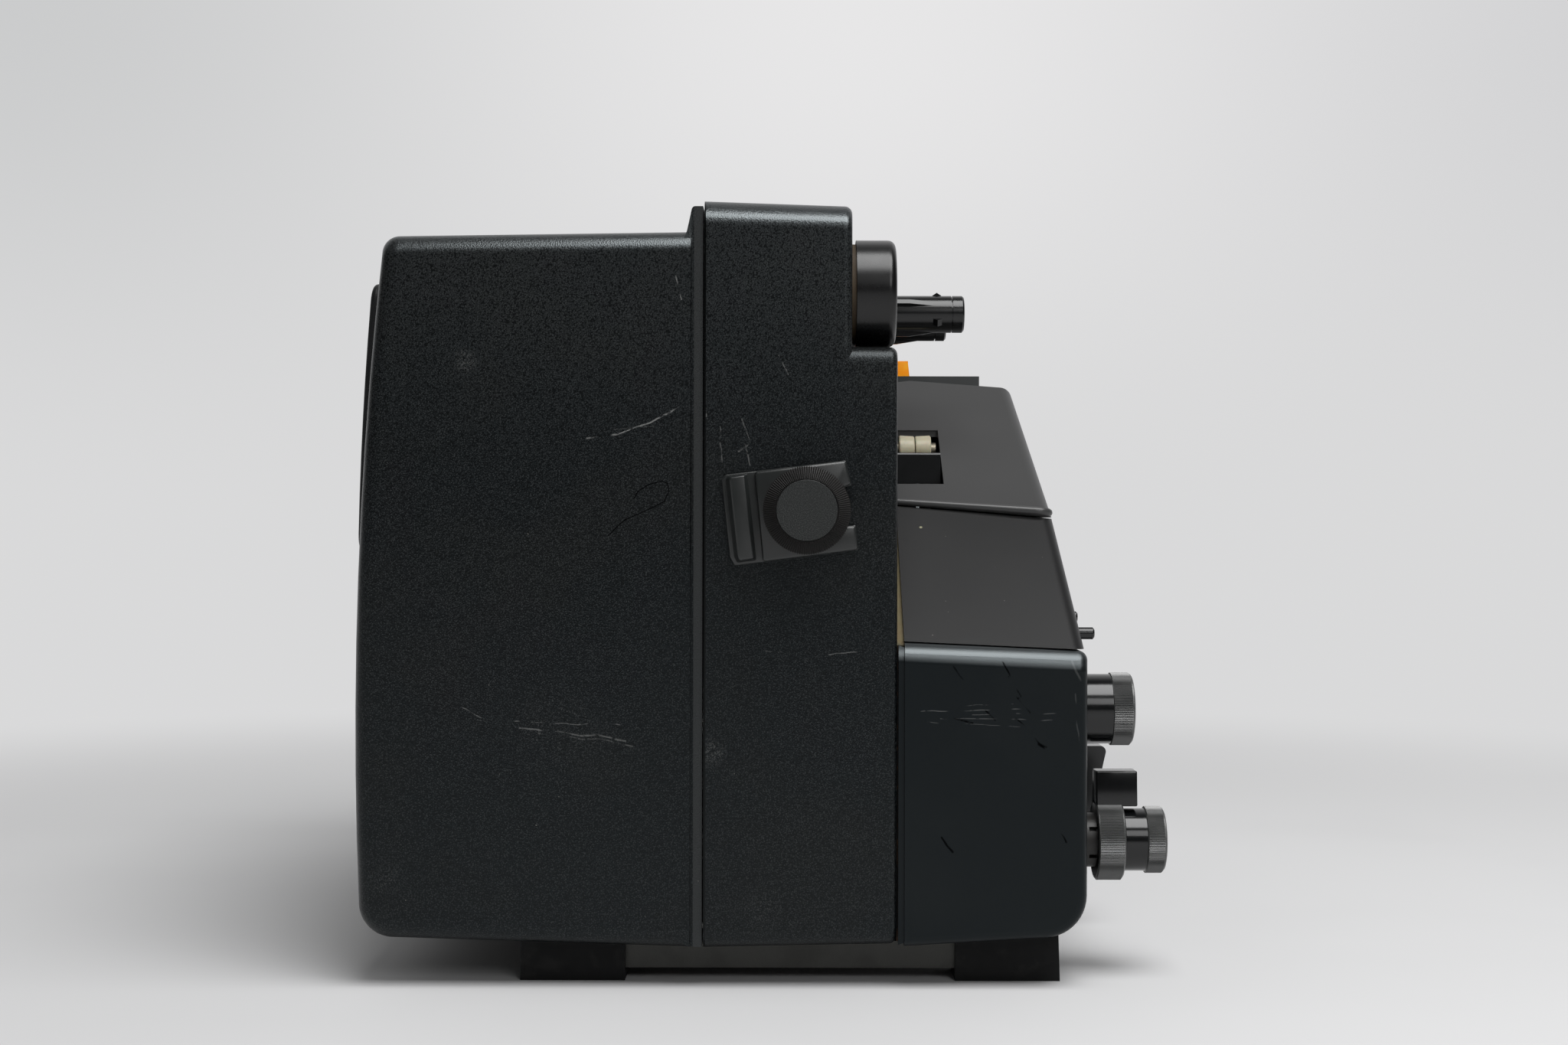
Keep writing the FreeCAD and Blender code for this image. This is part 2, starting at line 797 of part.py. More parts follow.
def rear_cover():
    body = new_body("cover_shell")
    extrude(body, "XZ", "0", "case_length", [
        ("-cover_foot", "cover_foot_height"),
        (FLANGE_LEFT, cover_floor("(spine_left + seam + flange_thick)")),
        (FLANGE_LEFT, "cover_top_height"),
        ("-cover_shoulder", "cover_shoulder_height"),
    ], {3: "bulge_radius"})
    round_off(body, "cover_foot_round", {"x": "-cover_foot", "z": "cover_foot_height"})
    round_off(body, "cover_top_round", {"x": "-cover_shoulder", "z": "cover_shoulder_height"})
    round_off(body, "end_round", {"y": "0"}, {"y": "case_length"}, apart_from={"x": FLANGE_LEFT})
    extrude(body, "XZ", "flange_back", "case_length - 2 * flange_back", [
        (f"{FLANGE_LEFT} - wall", "floor_gap + 2 * flange_up"),
        ("-spine_left - seam", "floor_gap + flange_up"),
        ("-spine_left - seam", "top_height - flange_drop"),
        (FLANGE_LEFT, "top_height - flange_drop"),
        (f"{FLANGE_LEFT} - flange_lean", "cover_top_height"),
        (f"{FLANGE_LEFT} - wall", "cover_top_height - wall"),
    ])
    round_off(body, "flange_round", {"x": FLANGE_LEFT, "z": "top_height - flange_drop"})
    pocket(body, "XZ", "wall", "case_length - 2 * wall", [
        ("-cover_foot + wall + cover_foot_round / 2", "cover_foot_height + wall"),
        ("-spine_left", "floor_gap + wall"),
        ("-spine_left", "cover_top_height - wall"),
        ("-cover_shoulder + wall", "cover_shoulder_height - wall"),
        ("-cover_foot + wall", "cover_foot_height + wall + cover_foot_round / 2"),
    ], {3: "bulge_radius - wall"})
    through = "grille_face - cover_shoulder + 3 * wall"
    window = box("-grille_face", "grille_start + louvre_margin", "grille_bottom + louvre_margin",
                 through, "grille_length - 2 * louvre_margin", "grille_height - 2 * louvre_margin")
    inlet = box("-inlet_x", "case_length - 2 * wall", "inlet_height", "inlet_width", "3 * wall",
                "inlet_tall")
    slots = grouped([
        box("-grille_face", f"speaker_y + {index} * slot_pitch - slot_width / 2"
            " - (slot_count - 1) / 2 * slot_pitch", "speaker_height - slot_tall / 2",
            through, "slot_width", "slot_tall")
        for index in range(round(number("slot_count")))
    ])
    node(cut(body, window, inlet, slots), "rear_cover")


def side_grille():
    body = new_body("grille")
    extrude(body, "XZ", "grille_start", "grille_length", [
        ("-grille_face", "grille_bottom"),
        ("-cover_shoulder", "grille_bottom"),
        ("-cover_shoulder", "grille_bottom + grille_height"),
        ("-grille_face + grille_lean", "grille_bottom + grille_height"),
    ], {3: "bulge_radius"})
    grille_end = "grille_start + grille_length"
    round_off(body, "grille_corner", *[
        {"y": y, "z": z}
        for y in ("grille_start", grille_end)
        for z in ("grille_bottom", "grille_bottom + grille_height")
    ])
    round_off(body, "grille_round",
              {"x": ("-grille_face - grille_corner", "-grille_face + grille_lean")})
    pocket(body, "XZ", "grille_start + grille_skin", "grille_length - 2 * grille_skin", [
        ("-grille_face + grille_skin", "grille_bottom + grille_skin"),
        ("0", "grille_bottom + grille_skin"),
        ("0", "grille_bottom + grille_height - grille_skin"),
        ("-grille_face + grille_lean + grille_skin", "grille_bottom + grille_height - grille_skin"),
    ], {3: "bulge_radius - grille_skin"})
    inner = "-grille_face + grille_lean + 2 * grille_skin"
    slat = "grille_bottom + louvre_margin"
    louvre = pocket(body, "XZ", "grille_start + louvre_margin", "grille_length - 2 * louvre_margin", [
        ("-grille_face - grille_corner", slat),
        (inner, f"{slat} + louvre_rise"),
        (inner, f"{slat} + louvre_rise + louvre_gap"),
        ("-grille_face - grille_corner", f"{slat} + louvre_gap"),
    ])
    rows = body.newObject("PartDesign::LinearPattern", "louvres")
    rows.Originals = [louvre]
    rows.Direction = (origin(body, "Z_Axis"), [""])
    bind(rows, "Length", "(louvre_count - 1) * louvre_pitch")
    bind(rows, "Occurrences", "louvre_count")
    body.Tip = rows
    doc.recompute()
    cover = new_body("cover_space")
    extrude(cover, "XZ", "0", "case_length", [
        ("-cover_foot - bearing_gap", "cover_foot_height"),
        ("-spine_left", "cover_foot_height"),
        ("-spine_left", "cover_shoulder_height"),
        ("-cover_shoulder - bearing_gap", "cover_shoulder_height"),
    ], {3: "bulge_radius + bearing_gap"})
    node(cut(body, cover), "side_grille")


def chassis_plate():
    body = new_body("plate")
    extrude(body, "YZ", "spine_right", "plate_thick", [
        (STRIP_END, "plate_foot"),
        (f"case_length - {STRIP_END}", "plate_foot"),
        (f"case_length - {STRIP_END}", "roof_out"),
        (ROOF_Y + " + plate_back", "roof_out"),
        (LIP_Y + " + plate_back", "lip_out"),
        ("lean_foot + plate_back", "lean_foot_height"),
        (STRIP_END, "lean_foot_height"),
    ])
    thick = "3 * plate_thick"
    start = "spine_right - plate_thick"
    shafts = grouped([
        rod("shaft_radius + bearing_gap", thick, start, y, z)
        for y, z in (("shutter_y", "shutter_height"), ("sprocket_y", SPROCKET_HEIGHT),
                     ("upper_sprocket_y", "upper_sprocket_height"), ("drum_y", "drum_height"))
    ])
    light = rod("light_window", thick, start, "mirror_y", "lens_height")
    notch = box(start, "gate_y + gate_thick", "lens_height - holder_radius - fit_gap", thick,
                "case_length", "2 * holder_radius + 2 * fit_gap")
    node(cut(body, shafts, light, notch), "chassis_plate")


def control_housing():
    body = new_body("housing")
    extrude(body, "XZ", "0", "case_length", [
        (PLATE_FACE, "housing_foot_in"),
        ("housing_right", "housing_foot_out"),
        ("housing_right", "housing_top_out"),
        (PLATE_FACE, "housing_top_in"),
    ])
    round_off(body, "housing_foot_round", {"x": "housing_right", "z": "housing_foot_out"})
    round_off(body, "housing_round", {"x": "housing_right", "z": "housing_top_out"})
    round_off(body, "housing_round", {"y": "0"}, {"y": "case_length"}, apart_from={"x": PLATE_FACE})
    pocket(body, "XZ", "wall", "case_length - 2 * wall", [
        ("spine_right", "housing_foot_in + wall"),
        ("housing_right - wall - housing_foot_round / 2", "housing_foot_out + wall"),
        (INNER_WALL, "housing_foot_out + wall + housing_foot_round / 2"),
        (INNER_WALL, "housing_top_out - wall"),
        ("spine_right", "housing_top_in - wall"),
    ])
    for strip in ("flange_back", "case_length - flange_back - wall"):
        extrude(body, "XZ", strip, "wall", [
            ("spine_right + seam", "housing_foot_in + flange_up"),
            (PLATE_FACE + " + wall", "housing_foot_in + wall"),
            (PLATE_FACE + " + wall", "housing_top_in - wall"),
            ("spine_right + seam", "housing_top_in - flange_up"),
        ])
    start = "housing_right - 2 * wall"
    holes = grouped([
        rod(radius, "3 * wall", start, y, z)
        for radius, y, z in (("shaft_radius + bearing_gap", "knob_y", "volume_height"),
                             ("bushing_neck + bearing_gap", "knob_y", "selector_height"),
                             ("shaft_radius + bearing_gap", "dial_y", "dial_height"))
    ] + [
        rod("jack_radius + bearing_gap", "3 * wall", start, f"jack_y + {index} * jack_pitch",
            "jack_height")
        for index in range(round(number("jack_count")))
    ])
    node(cut(body, holes), "control_housing")


def lower_film_cover():
    body = new_body("lower_cover")
    extrude(body, "XZ", "0", "deck_start - seam", [
        (PLATE_FACE, "housing_top_in + seam"),
        ("housing_right - seam", "housing_top_out + seam"),
        ("housing_right - draft_in", "lip_out - seam"),
        (PLATE_FACE, "lip_out + lip_fall - seam"),
    ])
    slope = "lower_run / lower_rise"
    pocket(body, "YZ", "0", "2 * housing_right", [
        (f"lean_foot - 2 * cover_round * {slope}", "lean_foot_height - 2 * cover_round"),
        (LIP_Y + f" + 2 * cover_round * {slope}", "lip_out + 2 * cover_round"),
        ("-case_length", "lip_out + 2 * cover_round"),
        ("-case_length", "lean_foot_height - 2 * cover_round"),
    ])
    hollow(body, (-1, 0, 0), (0, 1, 0), (0, 0, 1), (0, 0, -1))
    round_off(body, "cover_round", {
        "x": ("housing_right - draft_in - 1", "housing_right"),
        "y": ("0", LIP_Y + " + lip_fall"),
    }, along="y")
    pins = grouped([
        rod("pin_radius + bearing_gap", "6 * wall", "housing_right - 4 * wall", y, z)
        for y, z in (("rear_pin_y", "rear_pin_height"), ("front_pin_y", "front_pin_height"))
    ])
    node(cut(body, pins), "lower_film_cover")


def upper_film_cover():
    body = new_body("upper_cover")
    extrude(body, "XZ", "0", "deck_start - seam", [
        (PLATE_FACE + " + fit_gap", "lip_out + lip_fall"),
        ("housing_right - draft_in", "lip_out"),
        ("housing_right - draft_in - upper_draft", "roof_out"),
        (PLATE_FACE + " + fit_gap", "roof_out + roof_fall"),
    ])
    slope = "upper_run / upper_rise"
    lip = "lip_out + lip_step"
    pocket(body, "YZ", "0", "2 * housing_right", [
        (LIP_Y + f" - 4 * wall * {slope}", f"{lip} - 4 * wall"),
        (ROOF_Y + f" + 4 * wall * {slope}", f"{lip} + upper_rise + 4 * wall"),
        ("-case_length", f"{lip} + upper_rise + 4 * wall"),
        ("-case_length", f"{lip} - 4 * wall"),
    ])
    hollow(body, (-1, 0, 0), (0, 1, 0), (0, 0, -1))
    right = ("housing_right - draft_in - upper_draft - wall", "housing_right - draft_in + wall")
    round_off(body, "cover_round",
              {"x": right, "y": (LIP_Y + " - wall", ROOF_Y + " + wall")},
              {"x": right, "z": "roof_out"}, along="y")
    pocket(body, "XZ", ROOF_Y + " - scoop_long", "deck_start - seam", [
        ("spine_right", "roof_out + roof_fall - scoop_deep"),
        (PLATE_FACE, "roof_out + roof_fall - scoop_deep"),
        (PLATE_FACE + " + scoop_wide", "roof_out + roof_fall"),
        (PLATE_FACE + " + scoop_wide", "2 * roof_out"),
        ("spine_right", "2 * roof_out"),
    ])
    opening = box("spine_right", "notch_start", "notch_bottom", "notch_right - spine_right",
                  "notch_end - notch_start", "notch_top - notch_bottom")
    node(cut(body, opening), "upper_film_cover")


def front_housing():
    body = new_body("front_shell")
    extrude(body, "XZ", "deck_start", "case_length - front_inset - deck_start", [
        (PLATE_FACE, "housing_top_in + seam"),
        ("housing_right - seam", "housing_top_out + seam"),
        ("housing_right - draft_in", "lip_out"),
        ("front_top_right", "deck_height - deck_thick"),
        (PLATE_FACE, "deck_height - deck_thick"),
    ])
    hollow(body, (-1, 0, 0), (0, -1, 0), (0, 0, -1))
    front = "case_length - front_inset"
    round_off(body, "cover_round",
              {"x": ("front_top_right - wall", "housing_right"), "y": front},
              {"x": "front_top_right", "z": "deck_height - deck_thick"})
    lens_way = rod("lens_radius + 2 * fit_gap", "4 * wall", "film_plane",
                   "case_length - 3 * wall", "lens_height", ALONG_Y)
    focus_way = rod("pinion_radius - 1", "6 * wall", "housing_right - 6 * wall", "focus_y",
                    FOCUS_HEIGHT)
    film_way = box("film_plane - film_width / 2 - fit_gap", "guide_y - film_slot / 2",
                   "deck_height - deck_thick - 2 * wall", "film_width + 2 * fit_gap", "film_slot",
                   "3 * wall")
    node(cut(body, lens_way, focus_way, film_way), "front_housing")


def handle_legs():
    """Where the two legs of the carrying handle start."""
    return ["handle_start + handle_leg", "handle_start + handle_length - 2 * handle_leg"]


def inlet_deck():
    deck = box(PLATE_FACE, "deck_start", "deck_height - deck_thick", "deck_width", "deck_length",
               "deck_thick")
    film_way = box("film_plane - film_width / 2 - fit_gap", "guide_y - film_slot / 2",
                   "deck_height - 2 * deck_thick", "film_width + 2 * fit_gap", "film_slot",
                   "3 * deck_thick")
    node(cut(deck, film_way), "inlet_deck")


def inlet_guide():
    body = new_body("inlet_guide", "film_plane", "guide_y", "deck_height")
    half = "guide_width / 2"
    extrude(body, "XZ", "-guide_length / 2", "guide_length", [
        (f"-{half}", "0"),
        (half, "0"),
        (f"{half} - guide_taper / 2", "guide_tall"),
        (f"-{half} + guide_taper / 2", "guide_tall"),
    ])
    pocket(body, "YZ", "-guide_width", "2 * guide_width", [
        ("guide_length / 2 - guide_taper", "guide_tall"),
        ("guide_length / 2", "0"),
        ("guide_length", "guide_tall"),
    ])
    pocket(body, "YZ", "-guide_width", "2 * guide_width", [
        ("-guide_length / 2 + guide_taper", "guide_tall"),
        ("-guide_length", "guide_tall"),
        ("-guide_length / 2", "0"),
    ])
    pocket(body, "XZ", "-film_slot / 2", "film_slot", [
        ("-film_width / 2 - fit_gap", "0"),
        ("film_width / 2 + fit_gap", "0"),
        ("film_width / 2 + fit_gap", "guide_tall"),
        ("-film_width / 2 - fit_gap", "guide_tall"),
    ])
    node(body, "inlet_guide")


def feet():
    blocks = []
    for y in ("foot_inset", FRONT_FOOT):
        for side, floor in ((-1, cover_floor), (1, housing_floor)):
            outer, inner = ("foot_left", "foot_left - foot_width")
            if side > 0:
                outer, inner = ("foot_right", "foot_right - foot_width")
            body = new_body("foot", "0", y, "0")
            points = [
                (f"{side} * ({outer} + foot_flare)", "0"),
                (f"{side} * ({inner})", "0"),
                (f"{side} * ({inner})", floor(f"({inner})")),
                (f"{side} * {outer}", floor(outer)),
            ]
            if side > 0:
                points = [points[1], points[0], points[3], points[2]]
            extrude(body, "XZ", "0", "foot_depth", points)
            blocks.append(body)
    node(grouped(blocks), "rubber_feet")
    bars = []
    for y in ("foot_inset", FRONT_FOOT):
        bars.append(box("-foot_left + foot_width", f"{y} + (foot_depth - bar_depth) / 2",
                        "bar_low", "foot_left + foot_right - 2 * foot_width", "bar_depth",
                        "floor_gap - bar_low"))
    stem = rod("tilt_stem + bearing_gap", "2 * floor_gap", "tilt_x",
               FRONT_FOOT + " + foot_depth / 2", "0", ALONG_Z)
    node(cut(grouped(bars), stem), "foot_bars")


def tilt_foot():
    body = new_body("tilt_foot", "tilt_x", FRONT_FOOT + " + foot_depth / 2")
    revolve(body, [
        ("0", "0"),
        ("tilt_radius - 1", "0"),
        ("tilt_radius", "1"),
        ("tilt_radius", "tilt_pad"),
        ("tilt_stem", "tilt_pad"),
        ("tilt_stem", "floor_gap + " + TILT_SLEEVE),
        ("0", "floor_gap + " + TILT_SLEEVE),
    ])
    node(body, "tilt_foot")


def carry_handle():
    body = new_body("grip", "-handle_left", "handle_start")
    top = RIDGE_TOP + " - 1"
    extrude(body, "XZ", "0", "handle_length", [
        ("0", top + " - handle_thick"),
        ("handle_width", top + " - handle_thick"),
        ("handle_width", top),
        ("0", top),
    ])
    round_off(body, "handle_round",
              {"x": "0", "z": top}, {"x": "handle_width", "z": top},
              {"x": "0", "z": top + " - handle_thick"},
              {"x": "handle_width", "z": top + " - handle_thick"})
    foot = "top_height - handle_well - wall - handle_lift - wall"
    legs = []
    for y in handle_legs():
        legs.append(box("-handle_left + (handle_width - handle_leg_width) / 2", y, foot,
                        "handle_leg_width", "handle_leg", f"{top} - handle_thick / 2 - ({foot})"))
        legs.append(box("-handle_left + (handle_width - handle_leg_width) / 2 - wall", y, foot,
                        "handle_leg_width + 2 * wall", "handle_leg", "wall"))
    node(joined([body] + legs), "carry_handle")


def arms():
    discs = []
    for name, (pivot_y, tip_y, tip_z) in ARMS.items():
        body = new_body("arm")
        pad_loop(body, "YZ", ARM_START, "arm_thick", (pivot_y, ARM_HEIGHT, "arm_boss"),
                 (tip_y, tip_z, "arm_tip"))
        round_off(body, "arm_round", {"x": ARM_FACE})
        stub = rod("arm_stub", "arm_thick", "ridge_right - 2 * wall", pivot_y, ARM_HEIGHT)
        bore = rod("shaft_radius + bearing_gap", "arm_thick", ARM_START + " + wall", tip_y, tip_z)
        node(cut(joined([body, stub]), bore), name + "_arm")
        disc = rod("arm_base_radius", "arm_base_thick", "ridge_right", pivot_y, ARM_HEIGHT)
        hole = rod("arm_stub + bearing_gap", "3 * arm_base_thick", "ridge_right - arm_base_thick",
                   pivot_y, ARM_HEIGHT)
        discs.append(cut(disc, hole))
    node(grouped(discs), "arm_bases")


def spindles():
    for name, (pivot_y, tip_y, tip_z) in ARMS.items():
        body = new_body("spindle", ARM_FACE + " + bearing_gap", tip_y, tip_z, ALONG_X)
        cap = "spindle_length - spindle_cap"
        revolve(body, [
            ("0", "-arm_thick + 2 * wall"),
            ("shaft_radius", "-arm_thick + 2 * wall"),
            ("shaft_radius", "0"),
            ("spindle_radius", "0"),
            ("spindle_radius", cap),
            ("spindle_radius - rib_wide / 2", cap),
            ("spindle_radius - rib_wide / 2", f"{cap} + rib_wide / 4"),
            ("spindle_radius", f"{cap} + rib_wide / 4"),
            ("spindle_radius", "spindle_length - spindle_round"),
            ("spindle_radius - spindle_round", "spindle_length"),
            ("0", "spindle_length"),
        ])
        rib = extrude(body, "XZ", "-rib_wide / 2", "rib_wide", [
            ("spindle_radius - 1", "0"),
            ("spindle_radius + rib_proud", "0"),
            ("spindle_radius + rib_proud", "rib_length / 2"),
            ("spindle_radius", "rib_length"),
            ("spindle_radius - 1", "rib_length"),
        ])
        repeat(body, [rib], "rib_count")
        detent = extrude(body, "XZ", "-detent_wide / 2", "detent_wide", [
            ("-spindle_radius + 1", "detent_at + detent_radius / 2"),
            ("-spindle_radius", "detent_at + detent_radius / 2"),
            ("-spindle_radius - detent_proud", "detent_at"),
            ("-spindle_radius", "detent_at - detent_radius / 2"),
            ("-spindle_radius + 1", "detent_at - detent_radius / 2"),
        ])
        repeat(body, [detent], "rib_count")
        node(body, name + "_spindle")


def exit_guides():
    shaft = new_body("exit_shaft", PLATE_FACE, "exit_y", "exit_height", ALONG_X)
    middle = "film_plane - spine_right - plate_thick"
    collar = middle + " - exit_roller_width"
    tip = middle + " + exit_roller_width + seam / 2"
    revolve(shaft, [
        ("0", "0"),
        ("2 * exit_shaft_radius", "0"),
        ("2 * exit_shaft_radius", f"{collar} - seam / 2"),
        ("exit_shaft_radius", f"{collar} - seam / 2"),
        ("exit_shaft_radius", tip),
        ("exit_shaft_radius + 1", tip),
        ("exit_shaft_radius + 1", f"{tip} + exit_shaft_radius"),
        ("0", f"{tip} + exit_shaft_radius"),
    ])
    node(shaft, "exit_roller_shaft")
    halves = []
    for start, sign in ((middle + " - seam / 4", "-"), (middle + " + seam / 4", "+")):
        body = new_body("roller", PLATE_FACE + " + " + start, "exit_y", "exit_height", ALONG_X)
        bore = "exit_shaft_radius + bearing_gap"
        end = f"{sign}(exit_roller_width - seam / 4)"
        points = [
            (bore, "0"),
            ("exit_roller_waist", "0"),
            ("exit_roller_radius", end),
            (bore, end),
        ]
        revolve(body, points if sign == "+" else points[::-1])
        halves.append(body)
    node(grouped(halves), "exit_rollers")
    block = new_body("exit_guide")
    extrude(block, "YZ", PLATE_FACE, "notch_right - seam - spine_right - plate_thick", [
        ("block_start", "notch_bottom + fit_gap"),
        ("block_end", "notch_bottom + fit_gap"),
        ("block_end", "block_top"),
        ("block_start", "block_top"),
    ])
    round_off(block, "1", {"y": "block_start", "z": "block_top"})
    node(block, "exit_guide_block")


def sprocket_points(start):
    """Half profile of a film sprocket's two flanges and waist on its shaft."""
    half = "sprocket_width / 2"
    flange = "(sprocket_width - film_width) / 2"
    return [
        ("shaft_radius", f"{start} - {half}"),
        ("sprocket_radius", f"{start} - {half}"),
        ("sprocket_radius", f"{start} - {half} + {flange}"),
        ("sprocket_waist", f"{start} - {half} + {flange}"),
        ("sprocket_waist", f"{start} + {half} - {flange}"),
        ("sprocket_radius", f"{start} + {half} - {flange}"),
        ("sprocket_radius", f"{start} + {half}"),
        ("0", f"{start} + {half}"),
    ]


def sprockets():
    pulley = [
        ("0", "sprocket_belt_plane"),
        ("sprocket_pulley_radius", "sprocket_belt_plane"),
        ("sprocket_pulley_radius", "sprocket_belt_plane + belt_width"),
        ("shaft_radius", "sprocket_belt_plane + belt_width"),
    ]
    upper = new_body("upper", "0", "upper_sprocket_y", "upper_sprocket_height", ALONG_X)
    revolve(upper, pulley + sprocket_points("film_plane"))
    node(upper, "upper_sprocket")
    lower = new_body("lower", "0", "sprocket_y", SPROCKET_HEIGHT, ALONG_X)
    revolve(lower, pulley + [
        ("shaft_radius", "gear_x"),
        (GEAR_RADIUS, "gear_x"),
        (GEAR_RADIUS, "gear_x + gear_thick"),
        ("shaft_radius", "gear_x + gear_thick"),
    ] + sprocket_points("film_plane"))
    pitch = f"3.1 * ({GEAR_RADIUS}) / gear_teeth"
    tooth_gap = pocket(lower, "XY", "gear_x", "gear_thick", [
        (f"{GEAR_RADIUS} - tooth_deep", f"-{pitch} / 4"),
        (f"{GEAR_RADIUS} + tooth_deep", f"-{pitch} / 2"),
        (f"{GEAR_RADIUS} + tooth_deep", f"{pitch} / 2"),
        (f"{GEAR_RADIUS} - tooth_deep", f"{pitch} / 4"),
    ])
    repeat(lower, [tooth_gap], "gear_teeth")
    node(lower, "lower_sprocket")
    belt("sprocket_belt_plane", ("sprocket_y", SPROCKET_HEIGHT, "sprocket_pulley_radius"),
         ("upper_sprocket_y", "upper_sprocket_height", "sprocket_pulley_radius"), "sprocket_belt")


def sound_path():
    body = new_body("drum", "0", "drum_y", "drum_height", ALONG_X)
    revolve(body, [
        ("0", "flywheel_x + flywheel_thick"),
        ("shaft_radius", "flywheel_x + flywheel_thick"),
        ("shaft_radius", "film_plane - sprocket_width / 2"),
        ("drum_radius", "film_plane - sprocket_width / 2"),
        ("drum_radius", "film_plane + sprocket_width / 2"),
        ("0", "film_plane + sprocket_width / 2"),
    ])
    node(body, "sound_drum")
    wheel = new_body("wheel", "0", "drum_y", "drum_height", ALONG_X)
    web = "flywheel_thick / 4"
    revolve(wheel, [
        ("0", "flywheel_x"),
        ("2 * shaft_radius", "flywheel_x"),
        ("2 * shaft_radius", f"flywheel_x + {web}"),
        ("flywheel_radius - 3 * wall", f"flywheel_x + {web}"),
        ("flywheel_radius - 2 * wall", "flywheel_x"),
        ("flywheel_radius", "flywheel_x"),
        ("flywheel_radius", "flywheel_x + flywheel_thick"),
        ("flywheel_radius - 2 * wall", "flywheel_x + flywheel_thick"),
        ("flywheel_radius - 3 * wall", f"flywheel_x + flywheel_thick - {web}"),
        ("2 * shaft_radius", f"flywheel_x + flywheel_thick - {web}"),
        ("2 * shaft_radius", "flywheel_x + flywheel_thick"),
        ("0", "flywheel_x + flywheel_thick"),
    ])
    node(wheel, "flywheel")
    head = box(PLATE_FACE, "drum_y - 2 * drum_radius", "drum_height - drum_radius / 2",
               "film_plane + sprocket_width / 2 - spine_right - plate_thick",
               "drum_radius - fit_gap - seam", "drum_radius")
    node(head, "sound_head")


def gate():
    width = "2 * (film_plane - spine_right - plate_thick)"
    plate = box(PLATE_FACE, "gate_y", "lens_height - gate_tall / 2", width, "gate_thick",
                "gate_tall")
    aperture = box("film_plane - aperture_width / 2", "gate_y - gate_thick",
                   "lens_height - aperture_tall / 2", "aperture_width", "5 * gate_thick",
                   "aperture_tall")
    node(cut(plate, aperture), "gate_plate")
    front = "gate_y + gate_thick + film_gap"
    presser = box("film_plane - sprocket_width / 2", front, "lens_height - 0.4 * gate_tall",
                  "sprocket_width", "0.8 * gate_thick", "0.8 * gate_tall")
    window = box("film_plane - aperture_width / 2 - 1", "gate_y", "lens_height - aperture_tall / 2 - 1",
                 "aperture_width + 2", "5 * gate_thick", "aperture_tall + 2")
    node(cut(presser, window), "pressure_plate")


def light_path():
    glass = doc.addObject("Part::Box", "glass")
    bind(glass, "Length", "mirror_thick")
    bind(glass, "Width", "mirror_size")
    bind(glass, "Height", "mirror_size")
    reach = "mirror_size * cos(45) / 2"
    place(glass, f"film_plane - {reach}", f"mirror_y - {reach}", "lens_height - mirror_size / 2",
          FreeCAD.Rotation(FreeCAD.Vector(0, 0, 1), -45))
    foot = box(PLATE_FACE, f"mirror_y - {reach} - 3 * mirror_thick",
               "lens_height - mirror_size / 2", f"film_plane - {reach} + mirror_thick - spine_right"
               " - plate_thick", "4 * mirror_thick", "mirror_size")
    node(joined([glass, foot]), "light_mirror")
    lamp = new_body("lamp", "lamp_front", "mirror_y", "lens_height", ALONG_X)
    revolve(lamp, [
        ("0", "-lamp_depth"),
        ("lamp_neck", "-lamp_depth"),
        ("lamp_neck", "-0.7 * lamp_depth"),
        ("0.7 * lamp_radius", "-0.45 * lamp_depth"),
        ("lamp_radius - 1", "-0.1 * lamp_depth"),
        ("lamp_radius", "-0.1 * lamp_depth"),
        ("lamp_radius", "0"),
        ("0", "0"),
    ])
    node(lamp, "lamp")
    back = "lamp_front - lamp_depth"
    sheet_metal = box(f"{back} - 4 * wall", "mirror_y - lamp_radius", "tray_height + tray_thick",
                      "tray_thick", "2 * lamp_radius", "lens_height + lamp_neck + wall - tray_height"
                      " - tray_thick")
    socket = rod("lamp_neck + 1", "4 * wall", f"{back} - 4 * wall", "mirror_y", "lens_height")
    node(joined([sheet_metal, socket]), "lamp_bracket")


